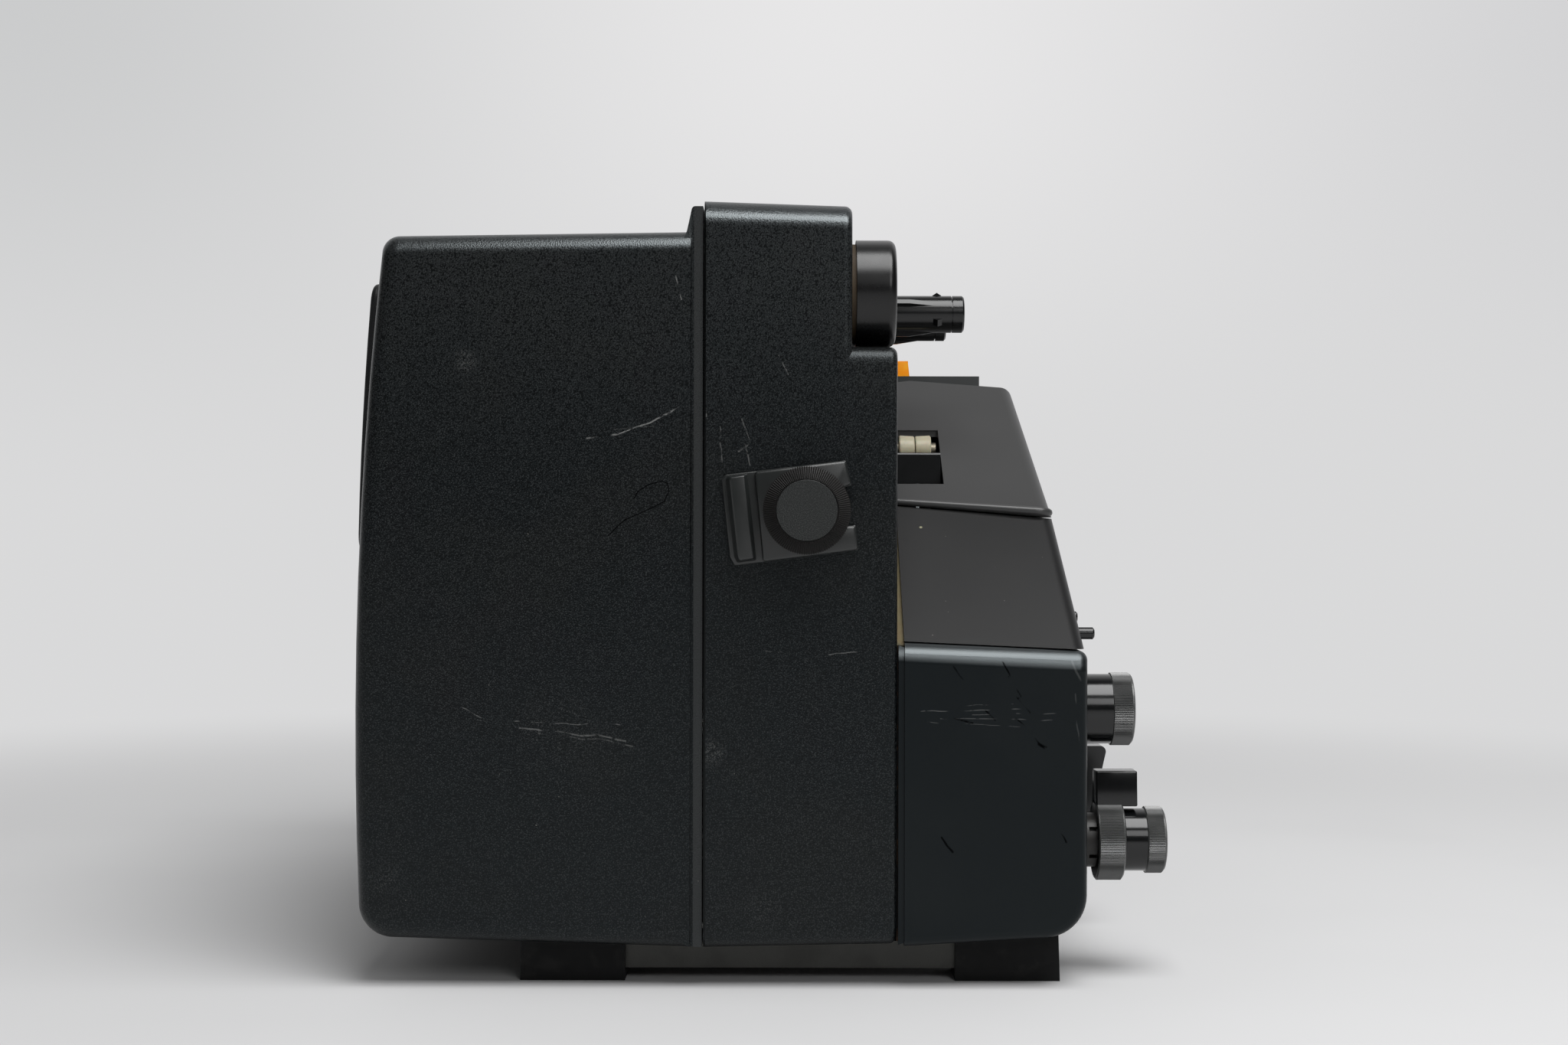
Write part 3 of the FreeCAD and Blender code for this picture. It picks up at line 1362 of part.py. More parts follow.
def lens():
    holder = rod("holder_radius", "case_length - front_inset - wall - holder_start", "film_plane",
                 "holder_start", "lens_height", ALONG_Y)
    bore = rod("lens_radius + bearing_gap", "lens_length", "film_plane", LENS_START,
               "lens_height", ALONG_Y)
    window = box("film_plane - pinion_radius - 2 * fit_gap", "focus_y - 2 * pinion_radius",
                 "lens_height + lens_radius - 2", "holder_radius + 4 * pinion_radius",
                 "4 * pinion_radius", "2 * pinion_radius")
    node(cut(holder, bore, window), "lens_holder")
    barrel = new_body("barrel", "film_plane", LENS_START, "lens_height", ALONG_Y)
    revolve(barrel, [
        ("lens_bore", "0"),
        ("lens_radius", "0"),
        ("lens_radius", "lens_length"),
        ("lens_bore", "lens_length"),
    ])
    round_off(barrel, "1", {"z": "lens_length", "x": ("-lens_radius", "lens_radius")},
              kind="Chamfer")
    node(barrel, "lens_barrel")
    elements = [
        rod("lens_bore - bearing_gap", "glass_thick", "film_plane", y, "lens_height", ALONG_Y)
        for y in (LENS_START + " + 2", LENS_START + " + lens_length / 2",
                  LENS_START + " + lens_length - 2 * glass_thick")
    ]
    node(grouped(elements), "lens_glass")
    zoom = new_body("zoom", "film_plane", "zoom_start", "lens_height", ALONG_Y)
    revolve(zoom, [
        ("lens_radius + bearing_gap", "0"),
        ("zoom_radius", "0"),
        ("zoom_radius", "zoom_width"),
        ("lens_radius + bearing_gap", "zoom_width"),
    ])
    knurl(zoom, "zoom_radius", "0", "zoom_width")
    node(zoom, "zoom_ring")
    focus = new_body("focus", "0", "focus_y", FOCUS_HEIGHT, ALONG_X)
    pinion_start = "film_plane - pinion_radius"
    pinion_end = "film_plane + 2 * pinion_radius"
    shaft = "pinion_radius - 1 - bearing_gap"
    revolve(focus, [
        ("0", pinion_start),
        ("pinion_radius", pinion_start),
        ("pinion_radius", pinion_end),
        (shaft, pinion_end),
        (shaft, "focus_x"),
        ("focus_radius", "focus_x"),
        ("focus_radius", "focus_x + focus_width"),
        ("0", "focus_x + focus_width"),
    ])
    knurl(focus, "focus_radius", "focus_x + 1", "focus_width")
    node(focus, "focus_knob")


def shutter():
    body = new_body("shutter", "0", "shutter_y", "shutter_height", ALONG_X)
    disc_end = "shutter_x + shutter_thick"
    revolve(body, [
        ("0", "belt_plane"),
        ("main_pulley_radius", "belt_plane"),
        ("main_pulley_radius", "belt_plane + belt_width + 2 * fit_gap"),
        ("shaft_radius", "belt_plane + belt_width + 2 * fit_gap"),
        ("shaft_radius", "shutter_x"),
        ("shutter_radius", "shutter_x"),
        ("shutter_radius", disc_end),
        ("shaft_radius", disc_end),
        ("shaft_radius", "gear_x"),
        ("shutter_pinion", "gear_x"),
        ("shutter_pinion", "gear_x + gear_thick"),
        ("shaft_radius", "gear_x + gear_thick"),
        ("shaft_radius", PLATE_FACE + " + 1"),
        ("0", PLATE_FACE + " + 1"),
    ])
    inner = "shutter_radius / 2"
    gap = pocket(body, "XY", "shutter_x", "shutter_thick", [
        (inner, "-shutter_radius / 5"),
        ("shutter_radius + 2", "-0.42 * shutter_radius"),
        ("shutter_radius + 2", "0.42 * shutter_radius"),
        (inner, "shutter_radius / 5"),
    ])
    repeat(body, [gap], "shutter_blades")
    node(body, "shutter")


def motor():
    left = "-motor_left"
    can = rod("motor_radius", "motor_length", left, "motor_y", "motor_height")
    bore = rod("motor_shaft_radius + bearing_gap", "2 * motor_length",
               "-motor_left - motor_length / 2", "motor_y", "motor_height")
    node(cut(can, bore), "motor")
    shaft = new_body("motor_shaft", "0", "motor_y", "motor_height", ALONG_X)
    revolve(shaft, [
        ("0", "-fan_left"),
        ("motor_shaft_radius", "-fan_left"),
        ("motor_shaft_radius", "belt_plane"),
        ("motor_pulley_radius", "belt_plane"),
        ("motor_pulley_radius", "belt_plane + belt_width + 2 * fit_gap"),
        ("0", "belt_plane + belt_width + 2 * fit_gap"),
    ])
    node(shaft, "motor_shaft")
    fan = new_body("fan", "-fan_left", "motor_y", "motor_height", ALONG_X)
    bore = "motor_shaft_radius + bearing_gap"
    revolve(fan, [
        (bore, "0"),
        ("2 * motor_shaft_radius", "0"),
        ("2 * motor_shaft_radius", "fan_width - wall"),
        ("fan_radius", "fan_width - wall"),
        ("fan_radius", "fan_width"),
        (bore, "fan_width"),
    ])
    blade = extrude(fan, "XY", "0", "fan_width", [
        ("0.7 * fan_radius", "-0.5"),
        ("fan_radius - 0.5", "2 * wall - 1"),
        ("fan_radius - 0.5", "2 * wall"),
        ("0.7 * fan_radius", "0.5"),
    ])
    repeat(fan, [blade], "fan_blades")
    node(fan, "fan_wheel")
    belt("belt_plane + fit_gap", ("motor_y", "motor_height", "motor_pulley_radius"),
         ("shutter_y", "shutter_height", "main_pulley_radius"), "drive_belt")


def inside():
    tray = box("-tray_left", "2 * wall", "tray_height", "tray_left + spine_right",
               "case_length - 4 * wall", "tray_thick")
    saddle = box("-motor_left + 2 * wall", "motor_y - 0.8 * motor_radius", "tray_height",
                 "motor_length - 4 * wall", "1.6 * motor_radius", "motor_height - tray_height"
                 " - motor_radius / 2")
    can = rod("motor_radius + bearing_gap", "2 * motor_length", "-motor_left - wall", "motor_y",
              "motor_height")
    stem = rod("tilt_stem + 2 * wall", "3 * tray_thick", "tilt_x", FRONT_FOOT + " + foot_depth / 2",
               "tray_height - tray_thick", ALONG_Z)
    node(cut(joined([tray, saddle]), can, stem), "base_chassis")
    core = box("-transformer_left", "transformer_y", "tray_height + tray_thick",
               "transformer_width", "transformer_length", "transformer_tall")
    coil = box("-transformer_left + transformer_width / 4", "transformer_y - 3 * wall",
               "tray_height + tray_thick + transformer_tall / 4", "transformer_width / 2",
               "transformer_length + 6 * wall", "transformer_tall / 2")
    node(joined([core, coil]), "transformer")
    speaker = new_body("speaker", "-speaker_rim", "speaker_y", "speaker_height", ALONG_X)
    revolve(speaker, [
        ("0", "speaker_depth / 2"),
        ("speaker_radius - 3 * wall", "1"),
        ("speaker_radius - 3 * wall", "0"),
        ("speaker_radius", "0"),
        ("speaker_radius", "1"),
        ("speaker_radius / 2", "speaker_depth / 2"),
        ("speaker_radius / 2", "speaker_depth"),
        ("0", "speaker_depth"),
    ])
    node(speaker, "speaker")


def boards():
    board = box("board_x", "4 * wall", "board_low", "board_thick", "case_length - 8 * wall",
                "board_tall")
    node(board, "amplifier_board")
    pots = []
    back = "board_x + board_thick"
    for y, z in (("knob_y", "volume_height"), ("knob_y", "selector_height"),
                 ("dial_y", "dial_height")):
        pots.append(joined([
            rod("pot_radius", f"({INNER_WALL} - board_x) / 2", back, y, z),
            rod("pot_radius / 2", f"{INNER_WALL} - 1 - ({back})", back, y, z),
        ]))
    node(grouped(pots), "control_pots")
    jacks = []
    for index in range(round(number("jack_count"))):
        y = f"jack_y + {index} * jack_pitch"
        shell = joined([
            rod("jack_radius", f"housing_right - ({back})", back, y, "jack_height"),
            rod("jack_nut", "wall / 2", "housing_right", y, "jack_height"),
        ])
        bore = rod("jack_bore", "4 * jack_nut", "housing_right - 2 * jack_nut", y, "jack_height")
        jacks.append(cut(shell, bore))
    node(grouped(jacks), "jack_sockets")


def mains_inlet():
    front = "case_length"
    margin = "bearing_gap"
    block = box(f"-inlet_x + {margin}", f"{front} - inlet_depth", f"inlet_height + {margin}",
                f"inlet_width - 2 * {margin}", "inlet_depth", f"inlet_tall - 2 * {margin}")
    flange = box("-inlet_x - wall", front, "inlet_height - wall", "inlet_width + 2 * wall",
                 "wall / 2", "inlet_tall + 2 * wall")
    well = box("-inlet_x + wall", f"{front} - inlet_depth + wall", "inlet_height + wall",
               "inlet_width - 2 * wall", "inlet_depth", "inlet_tall - 2 * wall")
    shell = cut(joined([block, flange]), well)
    prongs = [
        box(f"-inlet_x + inlet_width * {share} - 1", f"{front} - inlet_depth + wall / 2",
            "inlet_height + inlet_tall / 2 - 2", "2", "inlet_depth - 2 * wall", "4")
        for share in ("0.25", "0.5", "0.75")
    ]
    node(joined([shell] + prongs), "mains_inlet")


def side_knobs():
    stub = "-wall + bearing_gap"
    volume = new_body("volume", "housing_right", "knob_y", "volume_height", ALONG_X)
    revolve(volume, [
        ("0", stub),
        ("shaft_radius", stub),
        ("shaft_radius", "fit_gap"),
        ("volume_radius", "fit_gap"),
        ("volume_radius", "volume_barrel"),
        ("volume_grip_radius", "volume_barrel"),
        ("volume_grip_radius", "volume_barrel + volume_grip"),
        ("0", "volume_barrel + volume_grip"),
    ])
    knurl(volume, "volume_grip_radius", "volume_barrel", "volume_grip")
    node(volume, "volume_knob")
    bushing = new_body("bushing", "housing_right", "knob_y", "selector_height", ALONG_X)
    bore = "sleeve_radius + bearing_gap"
    bushing_end = "selector_start - bearing_gap"
    revolve(bushing, [
        (bore, "-wall"),
        ("bushing_neck", "-wall"),
        ("bushing_neck", "0"),
        ("bushing_radius", "0"),
        ("bushing_radius", bushing_end),
        (bore, bushing_end),
    ])
    slot = pocket(bushing, "XY", f"{bushing_end} - wall", "2 * wall", [
        ("bushing_neck", "-0.7"),
        ("2 * bushing_radius", "-0.7"),
        ("2 * bushing_radius", "0.7"),
        ("bushing_neck", "0.7"),
    ])
    repeat(bushing, [slot], "bushing_slots")
    node(bushing, "selector_bushing")
    ring = new_body("ring", "housing_right", "knob_y", "selector_height", ALONG_X)
    bore = "shaft_radius + bearing_gap"
    ring_end = "selector_start + selector_width"
    revolve(ring, [
        (bore, stub),
        ("sleeve_radius", stub),
        ("sleeve_radius", "selector_start"),
        ("selector_radius", "selector_start"),
        ("selector_radius", ring_end),
        (bore, ring_end),
    ])
    knurl(ring, "selector_radius", "selector_start", "selector_width")
    lever = extrude(ring, "XY", "selector_start", "lever_long", [
        ("-lever_reach", "-lever_width / 2 + 1"),
        ("-selector_radius + 1.5", "-lever_width / 2"),
        ("-selector_radius + 1.5", "lever_width / 2"),
        ("-lever_reach", "lever_width / 2 - 1"),
    ])
    round_off(ring, "1", {"x": "-lever_reach", "z": ("selector_start", "selector_start + lever_long")})
    node(ring, "selector_ring")
    balance = new_body("balance", "housing_right", "knob_y", "selector_height", ALONG_X)
    start = f"{ring_end} + bearing_gap"
    grip_start = f"{ring_end} + balance_barrel"
    end = f"{grip_start} + balance_grip"
    revolve(balance, [
        ("0", stub),
        ("shaft_radius", stub),
        ("shaft_radius", start),
        ("balance_radius", start),
        ("balance_radius", grip_start),
        ("balance_grip_radius", grip_start),
        ("balance_grip_radius", end),
        ("0", end),
    ])
    knurl(balance, "balance_grip_radius", grip_start, "balance_grip")
    node(balance, "balance_knob")
    dial = new_body("dial", "housing_right", "dial_y", "dial_height", ALONG_X)
    revolve(dial, [
        ("0", stub),
        ("shaft_radius", stub),
        ("shaft_radius", "fit_gap"),
        ("dial_radius", "fit_gap"),
        ("dial_radius", "dial_base - 2"),
        ("dial_radius - 2", "dial_base"),
        ("0", "dial_base"),
    ])
    extrude(dial, "XZ", "-dial_bar / 2", "dial_bar", [
        ("-dial_radius + 0.5", "dial_base / 2"),
        ("dial_radius - 2", "dial_base / 2"),
        ("dial_radius - 2", "dial_low"),
        ("-dial_radius + 0.5", "dial_proud"),
    ])
    round_off(dial, "2",
              {"x": "-dial_radius + 0.5", "z": "dial_proud"},
              {"x": "dial_radius - 2", "z": "dial_low"})
    node(dial, "function_dial")


def push_pins():
    for name, y, z in (("rear", "rear_pin_y", "rear_pin_height"),
                       ("front", "front_pin_y", "front_pin_height")):
        wall_x = f"housing_right - draft_in * ({z} - housing_top_out) / (lip_out - housing_top_out)"
        body = new_body("pin", wall_x, y, z, ALONG_X)
        revolve(body, [
            ("0", "-6 * wall"),
            ("pin_radius", "-6 * wall"),
            ("pin_radius", "-2 * wall"),
            ("2 * pin_radius", "-2 * wall"),
            ("2 * pin_radius", "-1.5 * wall"),
            ("pin_radius", "-1.5 * wall"),
            ("pin_radius", PIN_PROUD + " - 0.5"),
            ("pin_radius - 0.5", PIN_PROUD),
            ("0", PIN_PROUD),
        ])
        node(body, name + "_push_pin")


def clamp():
    turn = ALONG_MINUS_Y * FreeCAD.Rotation(FreeCAD.Vector(0, 0, 1), number("clamp_turn"))
    bracket = new_body("bracket", "clamp_x", "-fit_gap", "clamp_height", turn)
    left = "-bracket_offset"
    extrude(bracket, "XZ", "-bracket_tall / 2", "bracket_tall", [
        (left, "0"),
        (f"{left} + bracket_width", "0"),
        (f"{left} + bracket_width", "bracket_thick"),
        (f"{left} + groove_end", "bracket_thick"),
        (f"{left} + groove_end", "bracket_thick - groove_deep"),
        (f"{left} + rib_end", "bracket_thick - groove_deep"),
        (f"{left} + rib_end", "bracket_thick"),
        (f"{left} + rib_start", "bracket_thick"),
        (left, "bracket_thick / 2"),
    ])
    pocket(bracket, "XY", "0", "2 * bracket_thick", [
        ("0", "-bracket_slot / 2"),
        ("bracket_width", "-bracket_slot / 2"),
        ("bracket_width", "bracket_slot / 2"),
        ("0", "bracket_slot / 2"),
    ])
    slot_end = sketch_on(bracket, "XY", "0")
    slot_end.addGeometry(Part.Circle(FreeCAD.Vector(), FreeCAD.Vector(0, 0, 1),
                                     number("bracket_slot / 2")), False)
    slot_end.addConstraint([Sketcher.Constraint("Coincident", 0, 3, -1, 1),
                            Sketcher.Constraint("Radius", 0, number("bracket_slot / 2"))])
    bind(slot_end, "Constraints[1]", "bracket_slot / 2")
    round_pocket = bracket.newObject("PartDesign::Pocket", "slot_end")
    round_pocket.Profile = slot_end
    round_pocket.Reversed = True
    bind(round_pocket, "Length", "2 * bracket_thick")
    doc.recompute()
    round_off(bracket, "bracket_edge", {"z": "bracket_thick"})
    node(bracket, "clamp_bracket")
    knob = new_body("knob", "clamp_x", "0", "clamp_height", ALONG_MINUS_Y)
    rim = "clamp_reach - clamp_thick"
    revolve(knob, [
        ("0", "-stud_hold"),
        ("stud_radius", "-stud_hold"),
        ("stud_radius", "fit_gap"),
        ("bracket_slot / 2 - fit_gap", "fit_gap"),
        ("bracket_slot / 2 - fit_gap", rim),
        ("clamp_radius - 1", rim),
        ("clamp_radius", f"{rim} + 1"),
        ("clamp_radius", "clamp_reach - clamp_bevel"),
        ("clamp_face", "clamp_reach"),
        ("0", "clamp_reach"),
    ])
    knurl(knob, "clamp_radius", rim, "clamp_thick - clamp_bevel", "clamp_ribs")
    node(knob, "clamp_knob")


for build in (main_body, rear_cover, side_grille, chassis_plate, control_housing,
              lower_film_cover, upper_film_cover, front_housing, inlet_deck, inlet_guide, feet,
              tilt_foot, carry_handle, arms, spindles, exit_guides, sprockets, sound_path, gate,
              light_path, lens, shutter, motor, inside, boards, mains_inlet, side_knobs,
              push_pins, clamp):
    build()

doc.recompute()
for item in doc.Objects:
    if "Invalid" in item.State or "Error" in item.State:
        raise RuntimeError(f"{item.Label} didn't compute: {item.State}")
os.makedirs("parts", exist_ok=True)
for piece in nodes:
    if piece.Shape.isNull() or not piece.Shape.isValid():
        raise RuntimeError("bad shape in " + piece.Label)
    piece.Shape.exportStep(f"parts/{piece.Label}.step")
print(len(nodes), "sub-parts")
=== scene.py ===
import math
import bmesh
import bpy
from mathutils import Matrix, Vector


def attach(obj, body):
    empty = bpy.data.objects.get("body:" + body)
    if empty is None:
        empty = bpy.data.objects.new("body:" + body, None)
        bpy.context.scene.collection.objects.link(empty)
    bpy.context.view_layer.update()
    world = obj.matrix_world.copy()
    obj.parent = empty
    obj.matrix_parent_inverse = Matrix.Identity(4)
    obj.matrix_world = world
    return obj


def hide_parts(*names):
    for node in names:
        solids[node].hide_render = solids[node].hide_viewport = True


# The sound film projector of the frame, seen from its rear end. The model's solids keep their
# own meshes and get their finishes here. Finely ribbed grips and small fittings are new pieces.

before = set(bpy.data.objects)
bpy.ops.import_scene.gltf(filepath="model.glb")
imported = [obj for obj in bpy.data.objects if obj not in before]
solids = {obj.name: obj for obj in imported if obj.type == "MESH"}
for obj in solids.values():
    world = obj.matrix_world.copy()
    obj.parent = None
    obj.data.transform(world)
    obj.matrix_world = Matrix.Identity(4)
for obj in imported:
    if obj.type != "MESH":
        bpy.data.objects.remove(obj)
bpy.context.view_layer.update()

MM = 0.001

# Planes and axes of the case that the new pieces are set on
REAR = -157 * MM            # rear end plane
HOUSING_FACE = 101.1 * MM   # outer wall of the control housing
FILM_PLANE = 53.5 * MM      # middle of the film, its rollers and the lens
KNOB_Y = -130 * MM
VOLUME_AT = (HOUSING_FACE, KNOB_Y, 83.3 * MM)
SELECTOR_AT = (HOUSING_FACE, KNOB_Y, 42 * MM)
CLAMP_AT = (15.2 * MM, REAR, 145.6 * MM)
ROLLERS_AT = (FILM_PLANE, -65 * MM, 167.2 * MM)
FOCUS_AT = (0, 107 * MM, 168.1 * MM)
ZOOM_RING_AT = (FILM_PLANE, 152 * MM, 150 * MM)

CAMERA_AT = (8.4 * MM, -819 * MM, 142 * MM)
CAMERA_ROLL = 0.12          # degrees
CAMERA_LENS = 50
CAMERA_SENSOR = 36

# The room: a pale wall from left to right, painted lightest in the middle as a pool of light, its
# foot, the paper on the table, the dark behind the camera, and the even light on the object from
# the camera's side and from the wall's
WALL_LEFT = (0.595, 0.6, 0.605)
WALL_MIDDLE = (0.8, 0.795, 0.8)
WALL_RIGHT = (0.64, 0.64, 0.65)
FAR_FLOOR = (0.695, 0.695, 0.7)
FLOOR_PAPER = (0.66, 0.66, 0.665)
PAPER_CLOUDS = (0.63, 0.63, 0.635)
DARK_ROOM = (0.05, 0.05, 0.05)
AMBIENT_FRONT = (0.12, 0.12, 0.12)
AMBIENT_BACK = (0.42, 0.42, 0.42)

# Where they meet, as parts of the direction that one looks in: across, up and along the room
WALL_ACROSS = (-0.34, 0.03, 0.4)
WALL_UP = (0, 0.23)
WALL_ALONG = (0.2, 0.8)
AMBIENT_ALONG = (-0.6, 0.6)

FLOOR_RADIUS = 8
FLOOR_FADE = (0.28, 0.9)    # distance from the origin over which the floor turns into the wall

# Name, size, watts, place and target of each lamp
LAMPS = [
    ("key", (1.1, 1.1), 27, (0.42, -0.62, 1.52), (0.42, -0.05, 0.12)),
    ("strip", (0.6, 0.5), 3, (0.52, -1.35, 0.78), (0.3, -0.15, 0.1)),
]

BLUE_SHEEN = (0.88, 0.97, 1.0, 1)   # gloss of the case's blue-black plastic
PALE_RUB_AND_GLINT = (0.17, 0.172, 0.168)     # scratches and scuffs on the grained case, and the painted highlight on the strip's left edge
BLACK_NICK = (0.0006, 0.0006, 0.0007)
SCRATCH_WAVES = 90                  # noise scale of a scratch's wavering
SCRATCH_DRIFT = 6 * MM              # how far it wavers at 1


def rear_point(x, z):
    """A point of the rear end plane, in millimetres right of the origin and above the table."""
    return Vector((x * MM, REAR, z * MM))


class Nodes:
    """A node tree in the making, with patterns that read one kind of coordinates."""

    def __init__(self, tree, coordinates):
        self.tree = tree
        self.place = tree.nodes.new("ShaderNodeTexCoord").outputs[coordinates]

    def node(self, kind, inputs=(), **settings):
        made = self.tree.nodes.new("ShaderNode" + kind)
        for setting, choice in settings.items():
            setattr(made, setting, choice)
        for socket, amount in dict(inputs).items():
            self.feed(made.inputs[socket], amount)
        return made

    def feed(self, socket, amount):
        if isinstance(amount, bpy.types.NodeSocket):
            self.tree.links.new(amount, socket)
        else:
            socket.default_value = amount

    def math(self, operation, *amounts):
        made = self.node("Math", operation=operation)
        for socket, amount in zip(made.inputs, amounts):
            self.feed(socket, amount)
        return made.outputs[0]

    def vector(self, operation, *amounts):
        made = self.node("VectorMath", operation=operation)
        for socket, amount in zip(made.inputs, amounts):
            self.feed(socket, amount)
        return made.outputs["Value" if operation in ("LENGTH", "DOT_PRODUCT") else "Vector"]

    def scaled(self, vector, factor):
        made = self.node("VectorMath", {0: vector}, operation="SCALE")
        self.feed(made.inputs["Scale"], factor)
        return made.outputs["Vector"]

    def between(self, amount, start, end):
        """0 at start, 1 at end, smooth between them."""
        made = self.node("MapRange", interpolation_type="SMOOTHSTEP")
        for socket, value in zip(("Value", "From Min", "From Max"), (amount, start, end)):
            self.feed(made.inputs[socket], value)
        return made.outputs["Result"]

    def axis(self, letter):
        return self.node("SeparateXYZ", {0: self.place}).outputs[letter]

    def mixed(self, share, first, second):
        """Colour that goes from the first to the second; each is a colour or a socket."""
        made = self.node("Mix", {0: share}, data_type="RGBA")
        for socket, colour in ((6, first), (7, second)):
            amount = (*colour, 1) if isinstance(colour, tuple) else colour
            self.feed(made.inputs[socket], amount)
        return made.outputs[2]

    def seen_share(self):
        """1 for what the camera sees by itself, in gloss or through glass, 0 for other light."""
        path = self.node("LightPath").outputs
        seen_or_glossy = self.math("MAXIMUM", path["Is Camera Ray"], path["Is Glossy Ray"])
        return self.math("MAXIMUM", seen_or_glossy, path["Is Transmission Ray"])


class Finish(Nodes):
    """A material in the making: its shader and the nodes that feed it."""

    def __init__(self, name, colour, roughness, **constants):
        self.material = bpy.data.materials.new(name)
        self.material.use_nodes = True
        super().__init__(self.material.node_tree, "Object")
        self.shader = self.tree.nodes["Principled BSDF"]
        self.shader.inputs["Base Color"].default_value = (*colour, 1)
        self.shader.inputs["Roughness"].default_value = roughness
        for socket, amount in constants.items():
            self.shader.inputs[socket.replace("_", " ")].default_value = amount

    def noise(self, size, detail, stretch=None):
        """Cloudy pattern whose patches have the given size in metres."""
        place = self.place
        if stretch:
            place = self.node("Mapping", {"Vector": place, "Scale": stretch}).outputs["Vector"]
        made = self.node("TexNoise", {"Vector": place, "Scale": 1 / size, "Detail": detail})
        return made.outputs["Fac"]

    def cells(self, size):
        made = self.node("TexVoronoi", {"Vector": self.place, "Scale": 1 / size})
        return made.outputs["Distance"]

    def tint(self, mask, colour, strength):
        """Lay a colour over what the shader has, where the mask says."""
        base = self.shader.inputs["Base Color"]
        under = base.links[0].from_socket if base.is_linked else tuple(base.default_value)[:3]
        self.feed(base, self.mixed(self.math("MULTIPLY", mask, strength), under, colour))

    def vary(self, socket, mask, low, high):
        """Drive one of the shader's sockets from low to high as the mask says."""
        made = self.node("MapRange", {"Value": mask, "To Min": low, "To Max": high})
        self.feed(self.shader.inputs[socket], made.outputs["Result"])

    def roughen(self, mask, low, high):
        self.vary("Roughness", mask, low, high)

    def gloss(self, mask, low, high):
        """Gloss that varies; the socket's own value is the field's, for a tool that reads that."""
        self.shader.inputs["Specular IOR Level"].default_value = low
        self.vary("Specular IOR Level", mask, low, high)

    def bump(self, height, depth, strength=1.0):
        """Relief of the given depth in metres, on top of any before it."""
        normal = self.shader.inputs["Normal"]
        made = self.node("Bump", {"Height": height, "Distance": depth, "Strength": strength})
        if normal.is_linked:
            self.feed(made.inputs["Normal"], normal.links[0].from_socket)
        self.feed(normal, made.outputs["Normal"])

    def scratch(self, start, end, width, waver, broken):
        """Mask of a fine line between two points, wavering and broken as a real scratch."""
        start, end = Vector(start), Vector(end)
        run = end - start
        wander = self.node("TexNoise",
                           {"Vector": self.place, "Scale": SCRATCH_WAVES, "Detail": 2})
        shift = self.vector("SUBTRACT", wander.outputs["Color"], (0.5, 0.5, 0.5))
        place = self.vector("ADD", self.place, self.scaled(shift, waver * SCRATCH_DRIFT))
        offset = self.vector("SUBTRACT", place, tuple(start))
        along = self.math("DIVIDE", self.vector("DOT_PRODUCT", offset, tuple(run)), run.dot(run))
        share = self.node("Clamp", {"Value": along}).outputs[0]
        foot = self.scaled(tuple(run), share)
        distance = self.vector("LENGTH", self.vector("SUBTRACT", offset, foot))
        line = self.between(distance, width, width * 0.3)
        gaps = self.between(self.noise(1.5 * MM, 4), broken - 0.12, broken + 0.08)
        return self.math("MULTIPLY", line, gaps)

    def top_edge(self, height, lean, reach, drop, span):
        """Rounding of a leaning top edge that runs on softly into the field below it.

        Height is the edge's at x 0, reach how far down it is felt, span its run along x.
        """
        across = self.axis("X")
        edge = self.math("MULTIPLY_ADD", across, lean, height * MM)
        below = self.math("SUBTRACT", edge, self.axis("Z"))
        start, end = span
        share = self.math("MULTIPLY", self.between(across, start * MM, (start + 0.4) * MM),
                          self.between(across, end * MM, (end - 0.4) * MM))
        self.bump(self.math("MULTIPLY", self.between(below, 0, reach * MM), share), drop * MM)
        return self.math("MULTIPLY", self.between(below, reach * MM, reach * 0.6 * MM), share)

    def gouge(self, mask):
        """Dark nick: hardly any colour or gloss is left in it. Its gloss is varied first."""
        self.tint(mask, BLACK_NICK, 0.9)
        level = self.shader.inputs["Specular IOR Level"]
        left = self.math("SUBTRACT", 1, self.math("MULTIPLY", mask, 0.85))
        self.feed(level, self.math("MULTIPLY", level.links[0].from_socket, left))

    def patch(self, centre, radius, threshold):
        """Mask of a rubbed spot: noise that thins out from the centre."""
        offset = self.vector("SUBTRACT", self.place, tuple(centre))
        near = self.between(self.vector("LENGTH", offset), radius, radius * 0.2)
        speckle = self.between(self.noise(0.4 * MM, 4), threshold - 0.05, threshold + 0.15)
        return self.math("MULTIPLY", near, speckle)

    def dust(self, size, amount):
        """Sparse specks that are much smaller than their spacing."""
        speck = self.between(self.cells(size), 0.05, 0.02)
        patches = self.between(self.noise(18 * MM, 2), 1 - amount, 1.15 - amount)
        return self.math("MULTIPLY", speck, patches)


def dress(finish, *names):
    for name in names:
        slots = solids[name].data.materials
        slots.clear()
        slots.append(finish.material)


# Top edges of the rear end, in millimetres: height at x 0, lean, how far down the rounding is
# felt, how much it drops, and its run along x
BODY_TOP = (239.8, -0.031, 7.7, 2.3, (-15.9, 50))
COVER_TOP = (231.2, 0.0158, 6.7, 1.0, (-140, -19.8))
HOUSING_TOP = (107.4, -0.047, 6, 2, (40, 110))

# Between the cover and the ridge, in millimetres: a paler strip with its soft border, the seam,
# and fine lines (x, colour and strength): a painted highlight on the strip's left edge, and dirt
# along the metal plate
STRIP = (-19.3, -16.0)
STRIP_BORDER = 0.3
SEAM_X = -15.8
SEAM_HALF = 0.6
SEAM_RUN = (18, 234)
LINE_HALF = 0.26
LINE_RUN = (18, 226)
EDGE_LINES = [(-19.2, PALE_RUB_AND_GLINT, 0.35), (42.7, (0.1, 0.07, 0.04), 0.6)]

